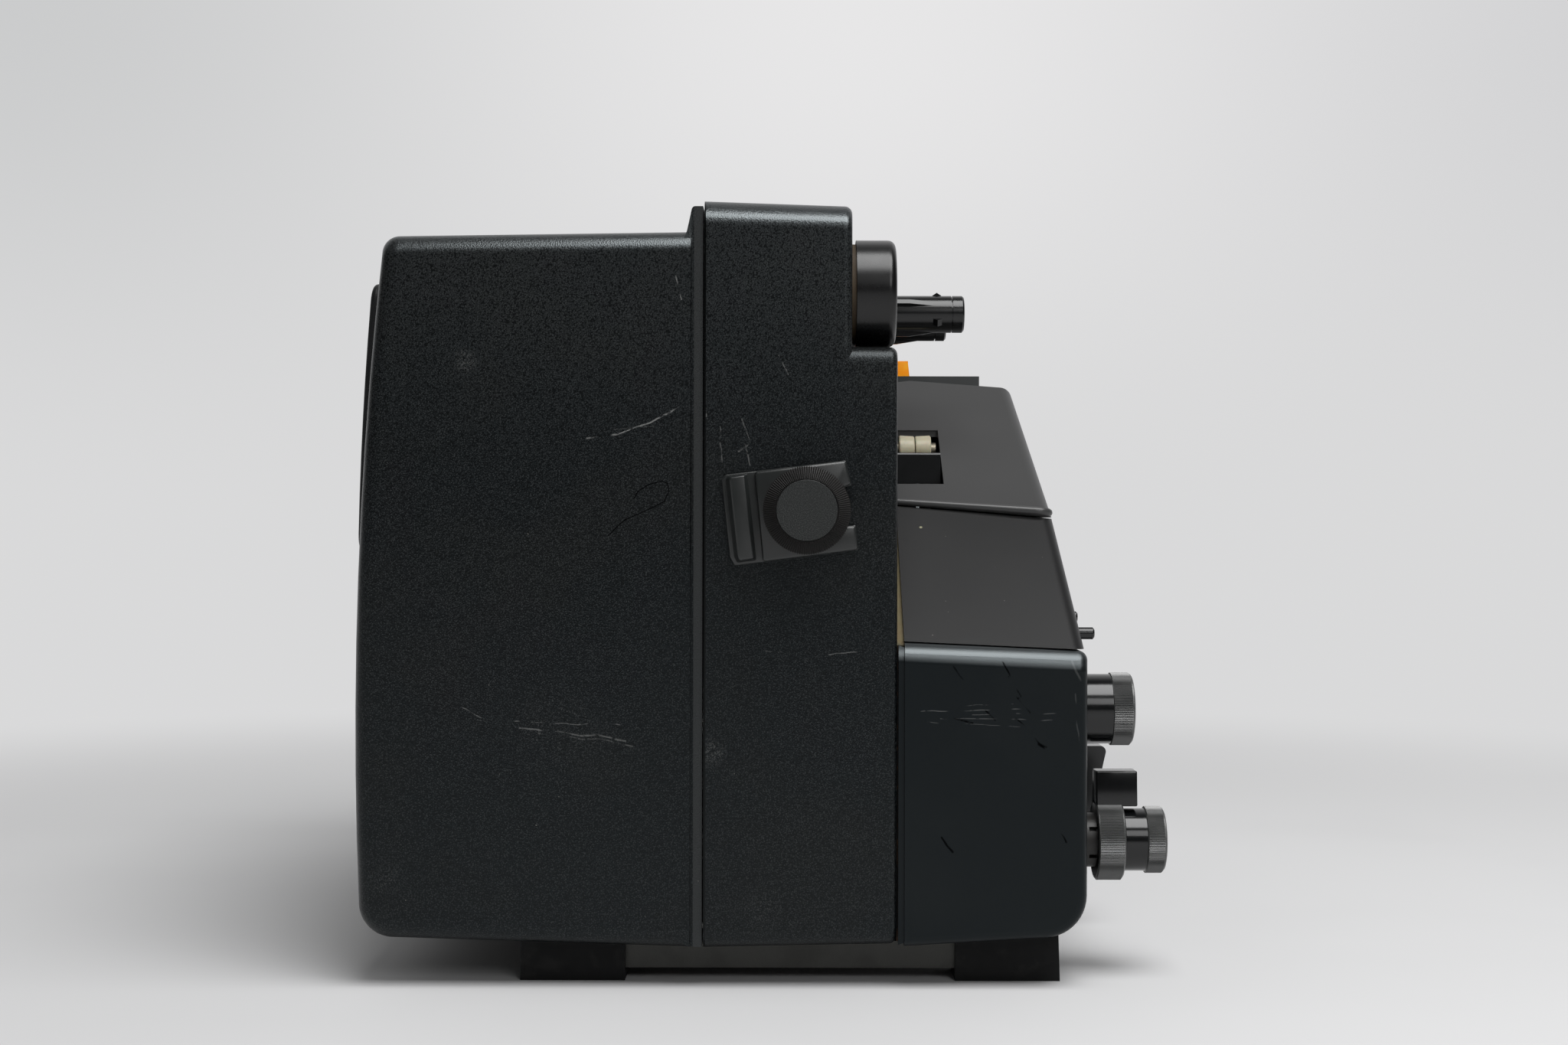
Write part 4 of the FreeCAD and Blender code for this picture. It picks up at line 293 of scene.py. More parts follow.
# Scratches on the rear end, in millimetres: start, end, half width and strength
REAR_SCRATCHES = [
    ((-51.2, 167.6), (-42.5, 168.6), 0.42, 1),
    ((-42.5, 168.6), (-31.0, 173.2), 0.3, 1),
    ((-31.0, 173.2), (-23.6, 177.2), 0.34, 1),
    ((-45.0, 170.0), (-27.0, 172.0), 0.18, 0.35),
    ((-89.4, 85.4), (-79.0, 80.5), 0.25, 0.5),
    ((-86.0, 81.8), (-40.0, 80.0), 0.22, 0.55),
    ((-72.0, 79.6), (-39.0, 75.5), 0.35, 0.5),
    ((-66.0, 78.0), (-37.0, 74.2), 0.3, 0.35),
    ((2.0, 102.9), (41.5, 101.9), 0.2, 0.6),
    ((-24.9, 217.5), (-22.8, 209.5), 0.25, 0.8),
    ((-22.2, 207.5), (-20.4, 201.5), 0.25, 0.6),
    ((6.0, 192.5), (9.6, 187.0), 0.3, 0.5),
    ((-10.8, 171.0), (-10.9, 160.0), 0.24, 0.45),
    ((-4.6, 173.7), (-1.7, 166.6), 0.35, 0.5),
    ((-1.7, 166.6), (-5.7, 163.1), 0.35, 0.55),
    ((-3.6, 166.0), (-2.2, 159.4), 0.35, 0.5),
    ((-15.7, 181.0), (-15.0, 174.0), 0.35, 0.6),
    ((-113.0, 75.0), (-96.0, 70.5), 0.15, 0.25),
]

# A dark line that curls round on the cover, by its bends
CURL_MARK = [
    (-45.1, 137.9), (-40.0, 142.7), (-33.6, 145.5), (-28.1, 148.2), (-26.6, 151.4),
    (-27.1, 153.8), (-28.8, 154.5), (-32.5, 153.5), (-36.0, 151.4), (-37.3, 149.0),
]

# Rubbed spots: centre, radius and how sparse their specks are
REAR_SCUFFS = [
    ((-88.8, 191.0), 5.0, 0.52),
    ((-14.0, 72.0), 6.0, 0.5),
    ((-60.0, 79.0), 20.0, 0.62),
    ((-113.0, 33.0), 7.0, 0.58),
    ((2.0, 24.0), 9.0, 0.6),
    ((27.0, 115.0), 10.0, 0.66),
]


def grained_plastic():
    """Leather grain moulded in blue-black plastic, rubbed and scratched by use, with painted light
    and shade: paler towards the top, lit pebbles and shaded creases in the grain, and a highlight
    on the strip's left edge.
    """
    finish = Finish("grained_case", (0.0018, 0.0029, 0.0037), 0.24, Specular_Tint=BLUE_SHEEN)
    tops = finish.math("ADD", finish.top_edge(*BODY_TOP), finish.top_edge(*COVER_TOP))
    finish.gloss(tops, 0.28, 0.95)
    # Rubbed clouds, and painted light that makes the case paler towards the top
    clouds = finish.noise(42 * MM, 5)
    finish.tint(finish.between(clouds, 0.45, 0.62), (0.0045, 0.0046, 0.0044), 0.75)
    finish.tint(finish.between(finish.axis("Z"), 140 * MM, 240 * MM), (0.03, 0.0325, 0.033), 0.4)
    # The grain: pebbles painted paler where they catch the light, creases painted darker as shade,
    # besides the grain's own bumps below
    cells = finish.cells(0.44 * MM)
    fine = finish.noise(0.42 * MM, 2)
    lit_pebbles = finish.math("MULTIPLY", finish.between(cells, 0.62, 0.25),
                          finish.between(fine, 0.42, 0.6))
    finish.tint(lit_pebbles, (0.034, 0.037, 0.0375), 0.8)
    # Painted shade in the creases between the pebbles
    finish.tint(finish.between(cells, 0.5, 0.75), (0.0003, 0.0004, 0.0005), 0.9)
    finish.roughen(clouds, 0.26, 0.33)
    finish.bump(finish.between(cells, 0.85, 0.15), 0.036 * MM, 0.7)
    finish.bump(fine, 0.02 * MM, 0.4)
    # Wear, seam and dust, and a painted highlight on the strip's left edge
    for start, end, width, strength in REAR_SCRATCHES:
        mark = finish.scratch(rear_point(*start), rear_point(*end), width * MM, 0.5, 0.44)
        finish.tint(mark, PALE_RUB_AND_GLINT, strength)
    for centre, radius, threshold in REAR_SCUFFS:
        finish.tint(finish.patch(rear_point(*centre), radius * MM, threshold), PALE_RUB_AND_GLINT, 0.3)
    across = finish.axis("X")
    left, right = STRIP
    strip = finish.math(
        "MULTIPLY",
        finish.between(across, left * MM, (left + STRIP_BORDER) * MM),
        finish.between(across, right * MM, (right - STRIP_BORDER) * MM))
    finish.tint(strip, (0.036, 0.037, 0.037), 0.75)
    # Painted highlight on the strip's left edge, and dirt along the metal plate
    for x, colour, strength in EDGE_LINES:
        foot, head = (rear_point(x, z) for z in LINE_RUN)
        finish.tint(finish.scratch(foot, head, LINE_HALF * MM, 0.01, 0.5), colour, strength)
    foot, head = (rear_point(SEAM_X, z) for z in SEAM_RUN)
    finish.tint(finish.scratch(foot, head, SEAM_HALF * MM, 0, 0), (0.0002, 0.0002, 0.0002), 1)
    for start, end in zip(CURL_MARK, CURL_MARK[1:]):
        mark = finish.scratch(rear_point(*start), rear_point(*end), LINE_HALF * MM, 0.1, 0.3)
        finish.gouge(mark)
    finish.tint(finish.dust(5 * MM, 0.45), (0.22, 0.21, 0.19), 0.5)
    return finish


# Dark nicks (start, end, half width) and pale rubs (with their strength) on the housing's end
HOUSING_NICKS = [
    ((60.0, 98.5), (62.8, 94.8), 0.5),
    ((75.2, 100.0), (77.4, 95.2), 0.35),
    ((77.0, 95.0), (80.2, 89.0), 0.4),
    ((79.0, 89.0), (82.8, 84.5), 0.5),
    ((78.5, 82.5), (84.0, 78.8), 0.3),
    ((84.8, 76.6), (87.0, 73.8), 0.45),
    ((86.0, 74.6), (87.8, 73.4), 0.75),
    ((60.0, 82.8), (66.0, 81.0), 0.5),
    ((70.0, 85.0), (73.0, 82.0), 0.4),
    ((92.0, 50.0), (94.5, 45.0), 0.4),
    ((57.0, 46.0), (59.5, 42.0), 0.5),
]
HOUSING_SCRATCHES = [
    ((50.0, 84.6), (84.0, 85.6), 0.2, 0.75),
    ((56.0, 82.6), (90.0, 82.2), 0.22, 0.6),
    ((52.0, 81.3), (80.0, 80.2), 0.16, 0.5),
    ((66.0, 83.7), (92.0, 84.3), 0.18, 0.6),
    ((64.0, 86.6), (78.0, 86.9), 0.14, 0.5),
    ((95.8, 100.0), (98.6, 94.0), 0.5, 0.35),
    ((96.8, 90.0), (98.3, 76.0), 0.3, 0.3),
]


def smooth_plastic():
    """Fine-textured black moulding of the control housing."""
    finish = Finish("smooth_case", (0.0022, 0.0037, 0.0046), 0.22, Specular_Tint=BLUE_SHEEN)
    finish.gloss(finish.top_edge(*HOUSING_TOP), 0.25, 0.9)
    clouds = finish.noise(45 * MM, 3)
    finish.tint(finish.between(clouds, 0.4, 0.65), (0.0046, 0.006, 0.0067), 0.7)
    finish.roughen(clouds, 0.3, 0.38)
    finish.bump(finish.noise(0.4 * MM, 2), 0.03 * MM, 0.6)
    for start, end, width in HOUSING_NICKS:
        finish.gouge(finish.scratch(rear_point(*start), rear_point(*end), width * MM, 0.5, 0.4))
    for start, end, width, strength in HOUSING_SCRATCHES:
        mark = finish.scratch(rear_point(*start), rear_point(*end), width * MM, 0.3, 0.42)
        finish.tint(mark, (0.1, 0.102, 0.1), strength)
    finish.tint(finish.dust(6 * MM, 0.42), (0.25, 0.24, 0.22), 0.4)
    return finish


# Crumbs on the leaning covers: place and radius in millimetres, and colour
COVER_SPECKS = [
    ((52.9, -110.5, 140.1), 0.9, (0.5, 0.48, 0.3)),
    ((88.0, -113.0, 136.0), 0.6, (0.3, 0.3, 0.28)),
    ((65.5, -124.5, 122.0), 0.5, (0.5, 0.25, 0.1)),
    ((56.0, -121.0, 127.5), 0.45, (0.3, 0.3, 0.28)),
    ((60.5, -91.0, 163.5), 0.6, (0.3, 0.3, 0.28)),
]


def cover_plastic(name, colour, specular):
    """Charcoal moulding of the leaning film covers, finely matt."""
    finish = Finish(name, colour, 0.3, Specular_IOR_Level=specular)
    clouds = finish.noise(50 * MM, 3)
    finish.tint(finish.between(clouds, 0.4, 0.7), tuple(part * 1.15 for part in colour), 0.6)
    finish.roughen(clouds, 0.3, 0.4)
    finish.bump(finish.noise(0.3 * MM, 2), 0.015 * MM, 0.4)
    finish.tint(finish.dust(5 * MM, 0.5), (0.3, 0.29, 0.27), 0.55)
    for place, radius, crumb in COVER_SPECKS:
        offset = finish.vector("SUBTRACT", finish.place, tuple(Vector(place) * MM))
        near = finish.between(finish.vector("LENGTH", offset), radius * MM, radius * 0.5 * MM)
        finish.tint(near, crumb, 0.9)
    return finish


def gloss_plastic(name, colour, roughness, specular=0.3):
    finish = Finish(name, colour, roughness, Specular_IOR_Level=specular)
    smears = finish.noise(9 * MM, 3)
    finish.roughen(smears, roughness * 0.8, roughness * 1.35)
    finish.bump(finish.noise(0.6 * MM, 2), 0.008 * MM, 0.3)
    finish.tint(finish.dust(3 * MM, 0.4), (0.2, 0.19, 0.18), 0.35)
    return finish


def worn_metal(name, colour, roughness, stretch):
    finish = Finish(name, colour, roughness, Metallic=1.0)
    brushed = finish.noise(1.2 * MM, 4, stretch)
    finish.roughen(brushed, roughness * 0.75, roughness * 1.3)
    darker = tuple(part * 0.72 for part in colour)
    finish.tint(finish.between(finish.noise(14 * MM, 3), 0.45, 0.7), darker, 0.6)
    finish.bump(brushed, 0.01 * MM, 0.4)
    return finish


def plate_metal():
    """Edge of the chassis plate: dark and dirty, olive beside the film cover, rust at its foot."""
    finish = Finish("plate_metal", (0.02, 0.02, 0.019), 0.5, Metallic=0.6)
    height = finish.axis("Z")
    brushed = finish.noise(1.5 * MM, 4, (1, 1, 0.15))
    olive = finish.between(height, 103 * MM, 106 * MM)
    finish.tint(olive, (0.13, 0.105, 0.05), 0.8)
    rust = finish.math("MULTIPLY", finish.between(finish.noise(2.5 * MM, 4), 0.5, 0.62),
                       finish.between(height, 150 * MM, 60 * MM))
    finish.tint(rust, (0.11, 0.05, 0.02), 0.5)
    finish.roughen(brushed, 0.4, 0.62)
    finish.bump(brushed, 0.02 * MM, 0.4)
    return finish


def rubber():
    finish = Finish("rubber", (0.008, 0.0083, 0.0085), 0.62, Specular_IOR_Level=0.2)
    finish.roughen(finish.noise(4 * MM, 3), 0.6, 0.82)
    finish.bump(finish.noise(0.5 * MM, 3), 0.03 * MM, 0.5)
    finish.tint(finish.between(finish.noise(7 * MM, 4), 0.52, 0.7), (0.02, 0.0198, 0.019), 0.5)
    return finish


def cream_plastic():
    finish = Finish("cream_roller", (0.48, 0.44, 0.31), 0.4, Subsurface_Weight=0.15,
                    Subsurface_Scale=0.002)
    finish.tint(finish.between(finish.noise(3 * MM, 3), 0.5, 0.7), (0.36, 0.31, 0.21), 0.5)
    finish.bump(finish.noise(0.5 * MM, 2), 0.01 * MM, 0.3)
    return finish


def orange_plastic():
    finish = Finish("orange_guide", (1.0, 0.33, 0.0), 0.28, Subsurface_Weight=0.3,
                    Subsurface_Scale=0.003)
    finish.tint(finish.between(finish.noise(5 * MM, 2), 0.4, 0.7), (1.0, 0.42, 0.01), 0.7)
    finish.bump(finish.noise(0.7 * MM, 2), 0.01 * MM, 0.3)
    return finish


def glass(name, colour, roughness):
    finish = Finish(name, colour, roughness, Transmission_Weight=1.0, IOR=1.5)
    finish.roughen(finish.noise(6 * MM, 2), roughness, roughness + 0.04)
    return finish


def mirror():
    finish = Finish("mirror", (0.88, 0.88, 0.88), 0.03, Metallic=1.0)
    finish.roughen(finish.noise(5 * MM, 2), 0.02, 0.08)
    return finish


def board():
    """Brown circuit board with copper tracks."""
    finish = Finish("board", (0.2, 0.11, 0.035), 0.45)
    tracks = finish.between(finish.noise(4 * MM, 0, (1, 0.3, 1)), 0.5, 0.52)
    finish.tint(tracks, (0.32, 0.2, 0.06), 0.7)
    return finish


def grip_plastic():
    """Ribbed black grips, their ridges polished grey by fingers."""
    finish = Finish("grip_plastic", (0.035, 0.037, 0.036), 0.26, Specular_IOR_Level=1.0)
    worn = finish.noise(7 * MM, 3)
    finish.tint(finish.between(worn, 0.45, 0.65), (0.065, 0.067, 0.065), 0.7)
    finish.roughen(worn, 0.24, 0.4)
    finish.bump(finish.noise(0.5 * MM, 2), 0.01 * MM, 0.3)
    return finish


def rough_face():
    """Sand-textured end of the thumb screw."""
    finish = Finish("rough_face", (0.017, 0.0188, 0.0185), 0.5, Specular_IOR_Level=0.3)
    grain = finish.noise(0.3 * MM, 3)
    finish.tint(finish.between(grain, 0.5, 0.66), (0.05, 0.053, 0.052), 0.8)
    finish.tint(finish.between(grain, 0.46, 0.36), (0.006, 0.007, 0.007), 0.8)
    finish.bump(grain, 0.09 * MM, 0.8)
    return finish


def white_paint():
    finish = Finish("white_paint", (0.62, 0.61, 0.57), 0.5)
    finish.tint(finish.between(finish.noise(2 * MM, 3), 0.5, 0.7), (0.45, 0.44, 0.4), 0.6)
    return finish


def make_finishes_and_pieces():
    # Case
    dress(grained_plastic(), "main_body", "rear_cover")
    dress(smooth_plastic(), "control_housing")
    # One charcoal moulding in two tones: the upper cover and front housing painted paler as lit,
    # the lower cover painted darker as shaded
    cover = cover_plastic("film_cover", (0.037, 0.037, 0.0372), 0.5)
    dress(cover, "upper_film_cover", "front_housing")
    dress(cover_plastic("lower_cover", (0.009, 0.009, 0.0092), 0.24), "lower_film_cover")
    # The deck painted a paler grey, as lit from in front
    dress(gloss_plastic("deck_plastic", (0.045, 0.048, 0.048), 0.35, 0.4), "inlet_deck")
    dress(gloss_plastic("vent_panel", (0.008, 0.0085, 0.009), 0.4, 0.35), "side_grille")

    # Arms, knobs and other black fittings
    dress(gloss_plastic("arm_plastic", (0.0022, 0.0022, 0.0024), 0.26, 0.45),
          "take_up_arm", "supply_arm")
    dress(gloss_plastic("spindle_plastic", (0.005, 0.0053, 0.0056), 0.2, 0.5),
          "take_up_spindle", "supply_spindle")
    knob = gloss_plastic("knob_plastic", (0.004, 0.0044, 0.0048), 0.15, 0.5)
    dress(knob, "volume_knob", "selector_ring", "balance_knob", "function_dial", "zoom_ring",
          "focus_knob", "rear_push_pin", "front_push_pin", "carry_handle", "fan_wheel",
          "exit_guide_block")
    clamp = gloss_plastic("clamp_plastic", (0.0135, 0.0152, 0.0149), 0.3, 0.6)
    dress(clamp, "clamp_bracket", "clamp_knob")
    dress(gloss_plastic("lens_black", (0.006, 0.006, 0.006), 0.25, 0.5),
          "lens_barrel", "mains_inlet")
    dress(gloss_plastic("speaker_cone", (0.015, 0.015, 0.015), 0.8), "speaker")

    # Metal
    dress(plate_metal(), "chassis_plate")
    dress(worn_metal("steel", (0.5, 0.5, 0.49), 0.35, (1, 8, 1)), "sound_drum", "gate_plate",
          "pressure_plate", "lamp_bracket", "shutter", "motor", "motor_shaft", "base_chassis")
    dress(worn_metal("dark_metal", (0.07, 0.07, 0.066), 0.5, (8, 1, 1)), "foot_bars",
          "tilt_foot", "sound_head", "transformer")
    dress(worn_metal("old_steel", (0.2, 0.18, 0.14), 0.45, (8, 1, 1)), "exit_roller_shaft")
    dress(gloss_plastic("dusty_disc", (0.05, 0.034, 0.018), 0.6, 0.3), "arm_bases")
    dress(worn_metal("aluminium", (0.55, 0.55, 0.55), 0.3, (1, 1, 6)), "lens_holder",
          "control_pots")
    dress(gloss_plastic("dull_metal", (0.012, 0.0112, 0.01), 0.4, 0.5), "selector_bushing")
    dress(worn_metal("chrome", (0.62, 0.62, 0.62), 0.16, (1, 1, 1)), "jack_sockets")
    dress(worn_metal("brass", (0.6, 0.42, 0.17), 0.3, (1, 1, 1)), "flywheel")

    # Rubber, pale plastic, glass and the board
    dress(rubber(), "rubber_feet", "drive_belt", "sprocket_belt")
    cream = cream_plastic()
    dress(cream, "exit_rollers", "upper_sprocket", "lower_sprocket")
    dress(orange_plastic(), "inlet_guide")
    dress(glass("glass", (0.93, 0.96, 0.97), 0.02), "lens_glass")
    dress(glass("lamp_glass", (0.95, 0.95, 0.93), 0.12), "lamp")
    dress(mirror(), "light_mirror")
    dress(board(), "amplifier_board")

    # New pieces
    grip = grip_plastic()
    make_side_knobs(knob, grip, white_paint())
    rib = gloss_plastic("rib_plastic", (0.0105, 0.0099, 0.0094), 0.5, 0.25)
    make_clamp_knob(rib, rough_face())
    make_clamp_bracket(clamp)
    make_exit_rollers(cream)
    make_lens_grips(grip)
    make_cover_bead(cover)


SHARP_FROM = 38             # degrees between two faces from which their edge stays sharp
SLAB_GAP = 0.3 * MM         # between the rear end and a plate that swivels on it


class Piece:
    """A new mesh in the making, shaped round its own Z axis and then set in its place."""

    def __init__(self):
        self.shape = bmesh.new()

    def spin(self, profile, steps=128):
        """Full turn of an outline of radius and height, in millimetres, from pole to pole."""
        corners = [self.shape.verts.new((radius * MM, 0, height * MM))
                   for radius, height in profile]
        sides = [self.shape.edges.new(pair) for pair in zip(corners, corners[1:])]
        bmesh.ops.spin(self.shape, geom=corners + sides, cent=(0, 0, 0), axis=(0, 0, 1),
                       angle=math.tau, steps=steps, use_merge=True)
        bmesh.ops.remove_doubles(self.shape, verts=self.shape.verts, dist=0.001 * MM)
        bmesh.ops.recalc_face_normals(self.shape, faces=self.shape.faces)

    def ribs(self, count, foot, tip, width):
        """Fine ridges round a grip; foot and tip are the radius and height of a ridge's ends."""
        (near, low), (far, high) = foot, tip
        lean = math.atan2(far - near, high - low)
        middle = Matrix.Translation(((near + far) / 2 * MM, 0, (low + high) / 2 * MM))
        bar = bmesh.ops.create_cone(
            self.shape, cap_ends=True, segments=4, radius1=width / 2 * MM,
            radius2=width / 2 * MM, depth=math.hypot(far - near, high - low) * MM,
            matrix=middle @ Matrix.Rotation(lean, 4, "Y"))["verts"]
        faces = {face for vert in bar for face in vert.link_faces}
        edges = {edge for vert in bar for edge in vert.link_edges}
        bmesh.ops.spin(self.shape, geom=[*bar, *edges, *faces], cent=(0, 0, 0), axis=(0, 0, 1),
                       angle=math.tau * (count - 1) / count, steps=count - 1,
                       use_duplicate=True)

    def block(self, centre, size):
        """Box round a centre, in millimetres; gives its corners."""
        matrix = (Matrix.Translation(Vector(centre) * MM)
                  @ Matrix.Diagonal((*(Vector(size) * MM), 1)))
        return bmesh.ops.create_cube(self.shape, size=1, matrix=matrix)["verts"]

    def soften(self, edges, radius, segments=3, **options):
        """Round some edges by a radius in millimetres."""
        bmesh.ops.bevel(self.shape, geom=list(edges), offset=radius * MM, affect="EDGES",
                        segments=segments, profile=0.5, material=-1, **options)

    def slab(self, foot, front, round_edge, crown=()):
        """Plate on the rear end with an outline of x and z and a rounded front.

        Foot is the outline on the case, crown the one in front where the sides lean.
        """
        lift = Vector((0, -SLAB_GAP, 0))
        base = self.shape.faces.new([self.shape.verts.new(rear_point(*corner) + lift)
                                     for corner in foot])
        grown = bmesh.ops.extrude_face_region(self.shape, geom=[base], use_keep_orig=True)["geom"]
        front_face = next(item for item in grown if isinstance(item, bmesh.types.BMFace))
        for vert in front_face.verts:
            corner = min(range(len(foot)),
                         key=lambda index: (vert.co - lift - rear_point(*foot[index])).length)
            vert.co = rear_point(*(crown or foot)[corner]) - Vector((0, front * MM, 0))
        edges = {edge for vert in front_face.verts for edge in vert.link_edges}
        self.soften(edges, round_edge, clamp_overlap=True)
        bmesh.ops.recalc_face_normals(self.shape, faces=self.shape.faces)

    def fit(self, name, body, slot, finish, place=Matrix.Identity(4), replaced=()):
        """Set the piece in its place, smooth but for its sharp edges, riding on a body."""
        bmesh.ops.transform(self.shape, matrix=place, verts=self.shape.verts)
        mesh = bpy.data.meshes.new(name)
        self.shape.to_mesh(mesh)
        self.shape.free()
        mesh.shade_smooth()
        mesh.set_sharp_from_angle(angle=math.radians(SHARP_FROM))
        mesh.materials.append(finish.material)
        made = bpy.data.objects.new(name, mesh)
        bpy.context.scene.collection.objects.link(made)
        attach(made, body)
        if replaced:
            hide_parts(*replaced)


def facing(axis, centre):
    """Turn the piece's Z axis to X, Y or minus Y and set its foot at a point in metres."""
    angle, about = {"X": (90, "Y"), "Y": (-90, "X"), "-Y": (90, "X")}[axis]
    return Matrix.Translation(centre) @ Matrix.Rotation(math.radians(angle), 4, about)


# Shafts and painted marks of the knobs, in millimetres
SHAFT = 3
SHAFT_FOOT = -2.4
MARK_WIDTH = 0.7
MARK_THICK = 0.08
MARK_ROUND = 0.03


def ribbed_cap(radius, low, high, count):
    """Grip of a knob: a disc with fine ridges round it and a shallow dish in its end."""
    cap = Piece()
    cap.spin([
        (0, low), (radius - 0.8, low), (radius - 0.4, low + 0.4), (radius - 0.4, high - 0.7),
        (radius - 0.5, high - 0.3), (radius - 0.9, high), (radius - 1.6, high),
        (radius - 2.0, high - 0.35), (0, high - 0.35),
    ])
    cap.ribs(count, (radius - 0.28, low + 0.45), (radius - 0.28, high - 0.75), 0.5)
    return cap


def barrel(radius, low, high):
    """Smooth turned body of a knob on its shaft, let into the grip above it."""
    body = Piece()
    body.spin([
        (0, SHAFT_FOOT), (SHAFT, SHAFT_FOOT), (SHAFT, low), (radius - 0.35, low),
        (radius, low + 0.35), (radius, high + 0.2), (0, high + 0.2),
    ])
    return body


def index_line(name, body, place, rim, reach, height, finish):
    """Fine painted line on the end of a knob, from its rim inwards."""
    line = Piece()
    line.block((reach / 2 - rim, 0, height + MARK_THICK / 2), (reach, MARK_WIDTH, MARK_THICK))
    line.soften(line.shape.edges, MARK_ROUND, 1)
    line.fit(name, body, "cream_roller", finish, place)


def make_side_knobs(gloss, grip, paint):
    """Volume knob above, selector ring with its lever and balance knob below."""
    volume = facing("X", VOLUME_AT)
    barrel(radius=11, low=0.3, high=10).fit(
        "volume_barrel", "volume_knob", "knob_plastic", gloss, volume, ["volume_knob"])
    ribbed_cap(radius=11.5, low=10, high=17, count=128).fit(
        "volume_grip", "volume_knob", "knob_plastic", grip, volume, ["volume_knob"])
    index_line("volume_mark", "volume_knob", volume, rim=9.2, reach=4.5, height=16.66,
               finish=paint)
    selector = facing("X", SELECTOR_AT)
    barrel(radius=9.8, low=14.1, high=21).fit(
        "balance_barrel", "balance_knob", "knob_plastic", gloss, selector, ["balance_knob"])
    ribbed_cap(radius=10.5, low=21, high=27.2, count=124).fit(
        "balance_grip", "balance_knob", "knob_plastic", grip, selector, ["balance_knob"])
    index_line("balance_mark", "balance_knob", selector, rim=8.2, reach=4, height=26.86,
               finish=paint)
    ring = Piece()
    ring.spin([
        (3.1, SHAFT_FOOT), (5, SHAFT_FOOT), (5, 8.2), (10.9, 8.2), (11.2, 5.9), (11.5, 5.6),
        (12.1, 5.6), (12.4, 5.9), (12.4, 13.6), (12, 14), (3.1, 14), (3.1, SHAFT_FOOT),
    ])
    ring.ribs(148, (12.42, 6), (12.42, 13.5), 0.5)
    ring.fit("selector_grip", "selector_ring", "knob_plastic", grip, selector,
             ["selector_ring"])
    lever = Piece()
    corners = lever.block((-16.5, 0, 12.1), (11, 10, 13))
    top = [corner for corner in corners if corner.co.x < -20 * MM]
    bmesh.ops.scale(lever.shape, vec=(1, 0.8, 1), verts=top)
    lever.soften(lever.shape.edges, 0.5)
    lever.fit("selector_lever", "selector_ring", "knob_plastic", gloss, selector,
              ["selector_ring"])


def make_clamp_knob(grip, face):
    """Thumb screw of the bracket: a bevelled disc, ribbed on its bevel and round its rim."""
    place = facing("-Y", CLAMP_AT)
    disc = Piece()
    disc.spin([
        (0, -10), (SHAFT, -10), (SHAFT, 0.3), (5.85, 0.3), (5.85, 8), (12.2, 8), (12.9, 8.6),
        (13, 14.2), (12.8, 14.4), (9.35, 16.75), (9.3, 16.4), (0, 16.4),
    ])
    disc.ribs(116, (13.04, 8.9), (13.04, 14.2), 0.46)
    disc.ribs(116, (12.85, 14.42), (9.5, 16.72), 0.42)
    disc.fit("clamp_knob_rim", "clamp_knob", "knob_plastic", grip, place, ["clamp_knob"])
    cap = Piece()
    cap.spin([(0, 16.2), (9.1, 16.2), (9.1, 16.85), (8.95, 17), (0, 17)])
    cap.fit("clamp_knob_face", "clamp_knob", "knob_plastic", face, place, ["clamp_knob"])


# Outlines of the bracket as it lies on the rear end, in millimetres right of the origin and
# above the table: its base, the plate with two prongs on it, and the rib's foot and crown
BRACKET_BASE = [
    (-10.6, 155.2), (-9.4, 156.5), (27.2, 160.9), (28.9, 153.3), (26.4, 152.5), (24.0, 149.0),
    (24.0, 144.0), (27.4, 141.0), (30.2, 141.3), (30.9, 133.6), (-6.6, 128.9), (-8.0, 131.6),
]
BRACKET_PLATE = [
    (-0.6, 157.4), (27.1, 160.8), (28.8, 153.5), (26.2, 152.7), (23.6, 149.0), (23.6, 144.2),
    (27.3, 140.9), (30.1, 141.2), (30.8, 133.7), (2.0, 130.0),
]
RIB_FOOT = [
    (-10.5, 155.2), (-9.4, 156.4), (-2.0, 157.3), (0.9, 130.0), (-6.5, 129.0), (-7.9, 131.6),
]
RIB_CROWN = [
    (-8.0, 154.9), (-7.7, 155.5), (-3.6, 156.1), (-0.9, 131.2), (-4.9, 130.6), (-5.4, 131.9),
]


def make_clamp_bracket(finish):
    """Bracket under the thumb screw: a plain raised rib, a channel and a plate with two prongs."""
    bracket = Piece()
    bracket.slab(BRACKET_BASE, front=2.6, round_edge=0.5)
    bracket.slab(BRACKET_PLATE, front=4.4, round_edge=1)
    bracket.slab(RIB_FOOT, front=5.2, round_edge=0.4, crown=RIB_CROWN)
    bracket.fit("bracket_moulding", "clamp_bracket", "knob_plastic", finish,
                replaced=["clamp_bracket"])


def make_exit_rollers(finish):
    """Pair of film rollers with a narrow gap, each a little slimmer on the inner side."""
    rollers = Piece()
    bore = 1.62
    for outer, inner in ((-5.5, -0.15), (5.5, 0.15)):
        side = math.copysign(1, outer)
        rollers.spin([
            (bore, outer), (4.6, outer), (5, outer - side * 0.4), (4.75, inner + side * 0.3),
            (4.45, inner), (bore, inner), (bore, outer),
        ], 64)
    rollers.fit("roller_pair", "exit_rollers", "cream_roller", finish,
                facing("X", ROLLERS_AT), ["exit_rollers"])


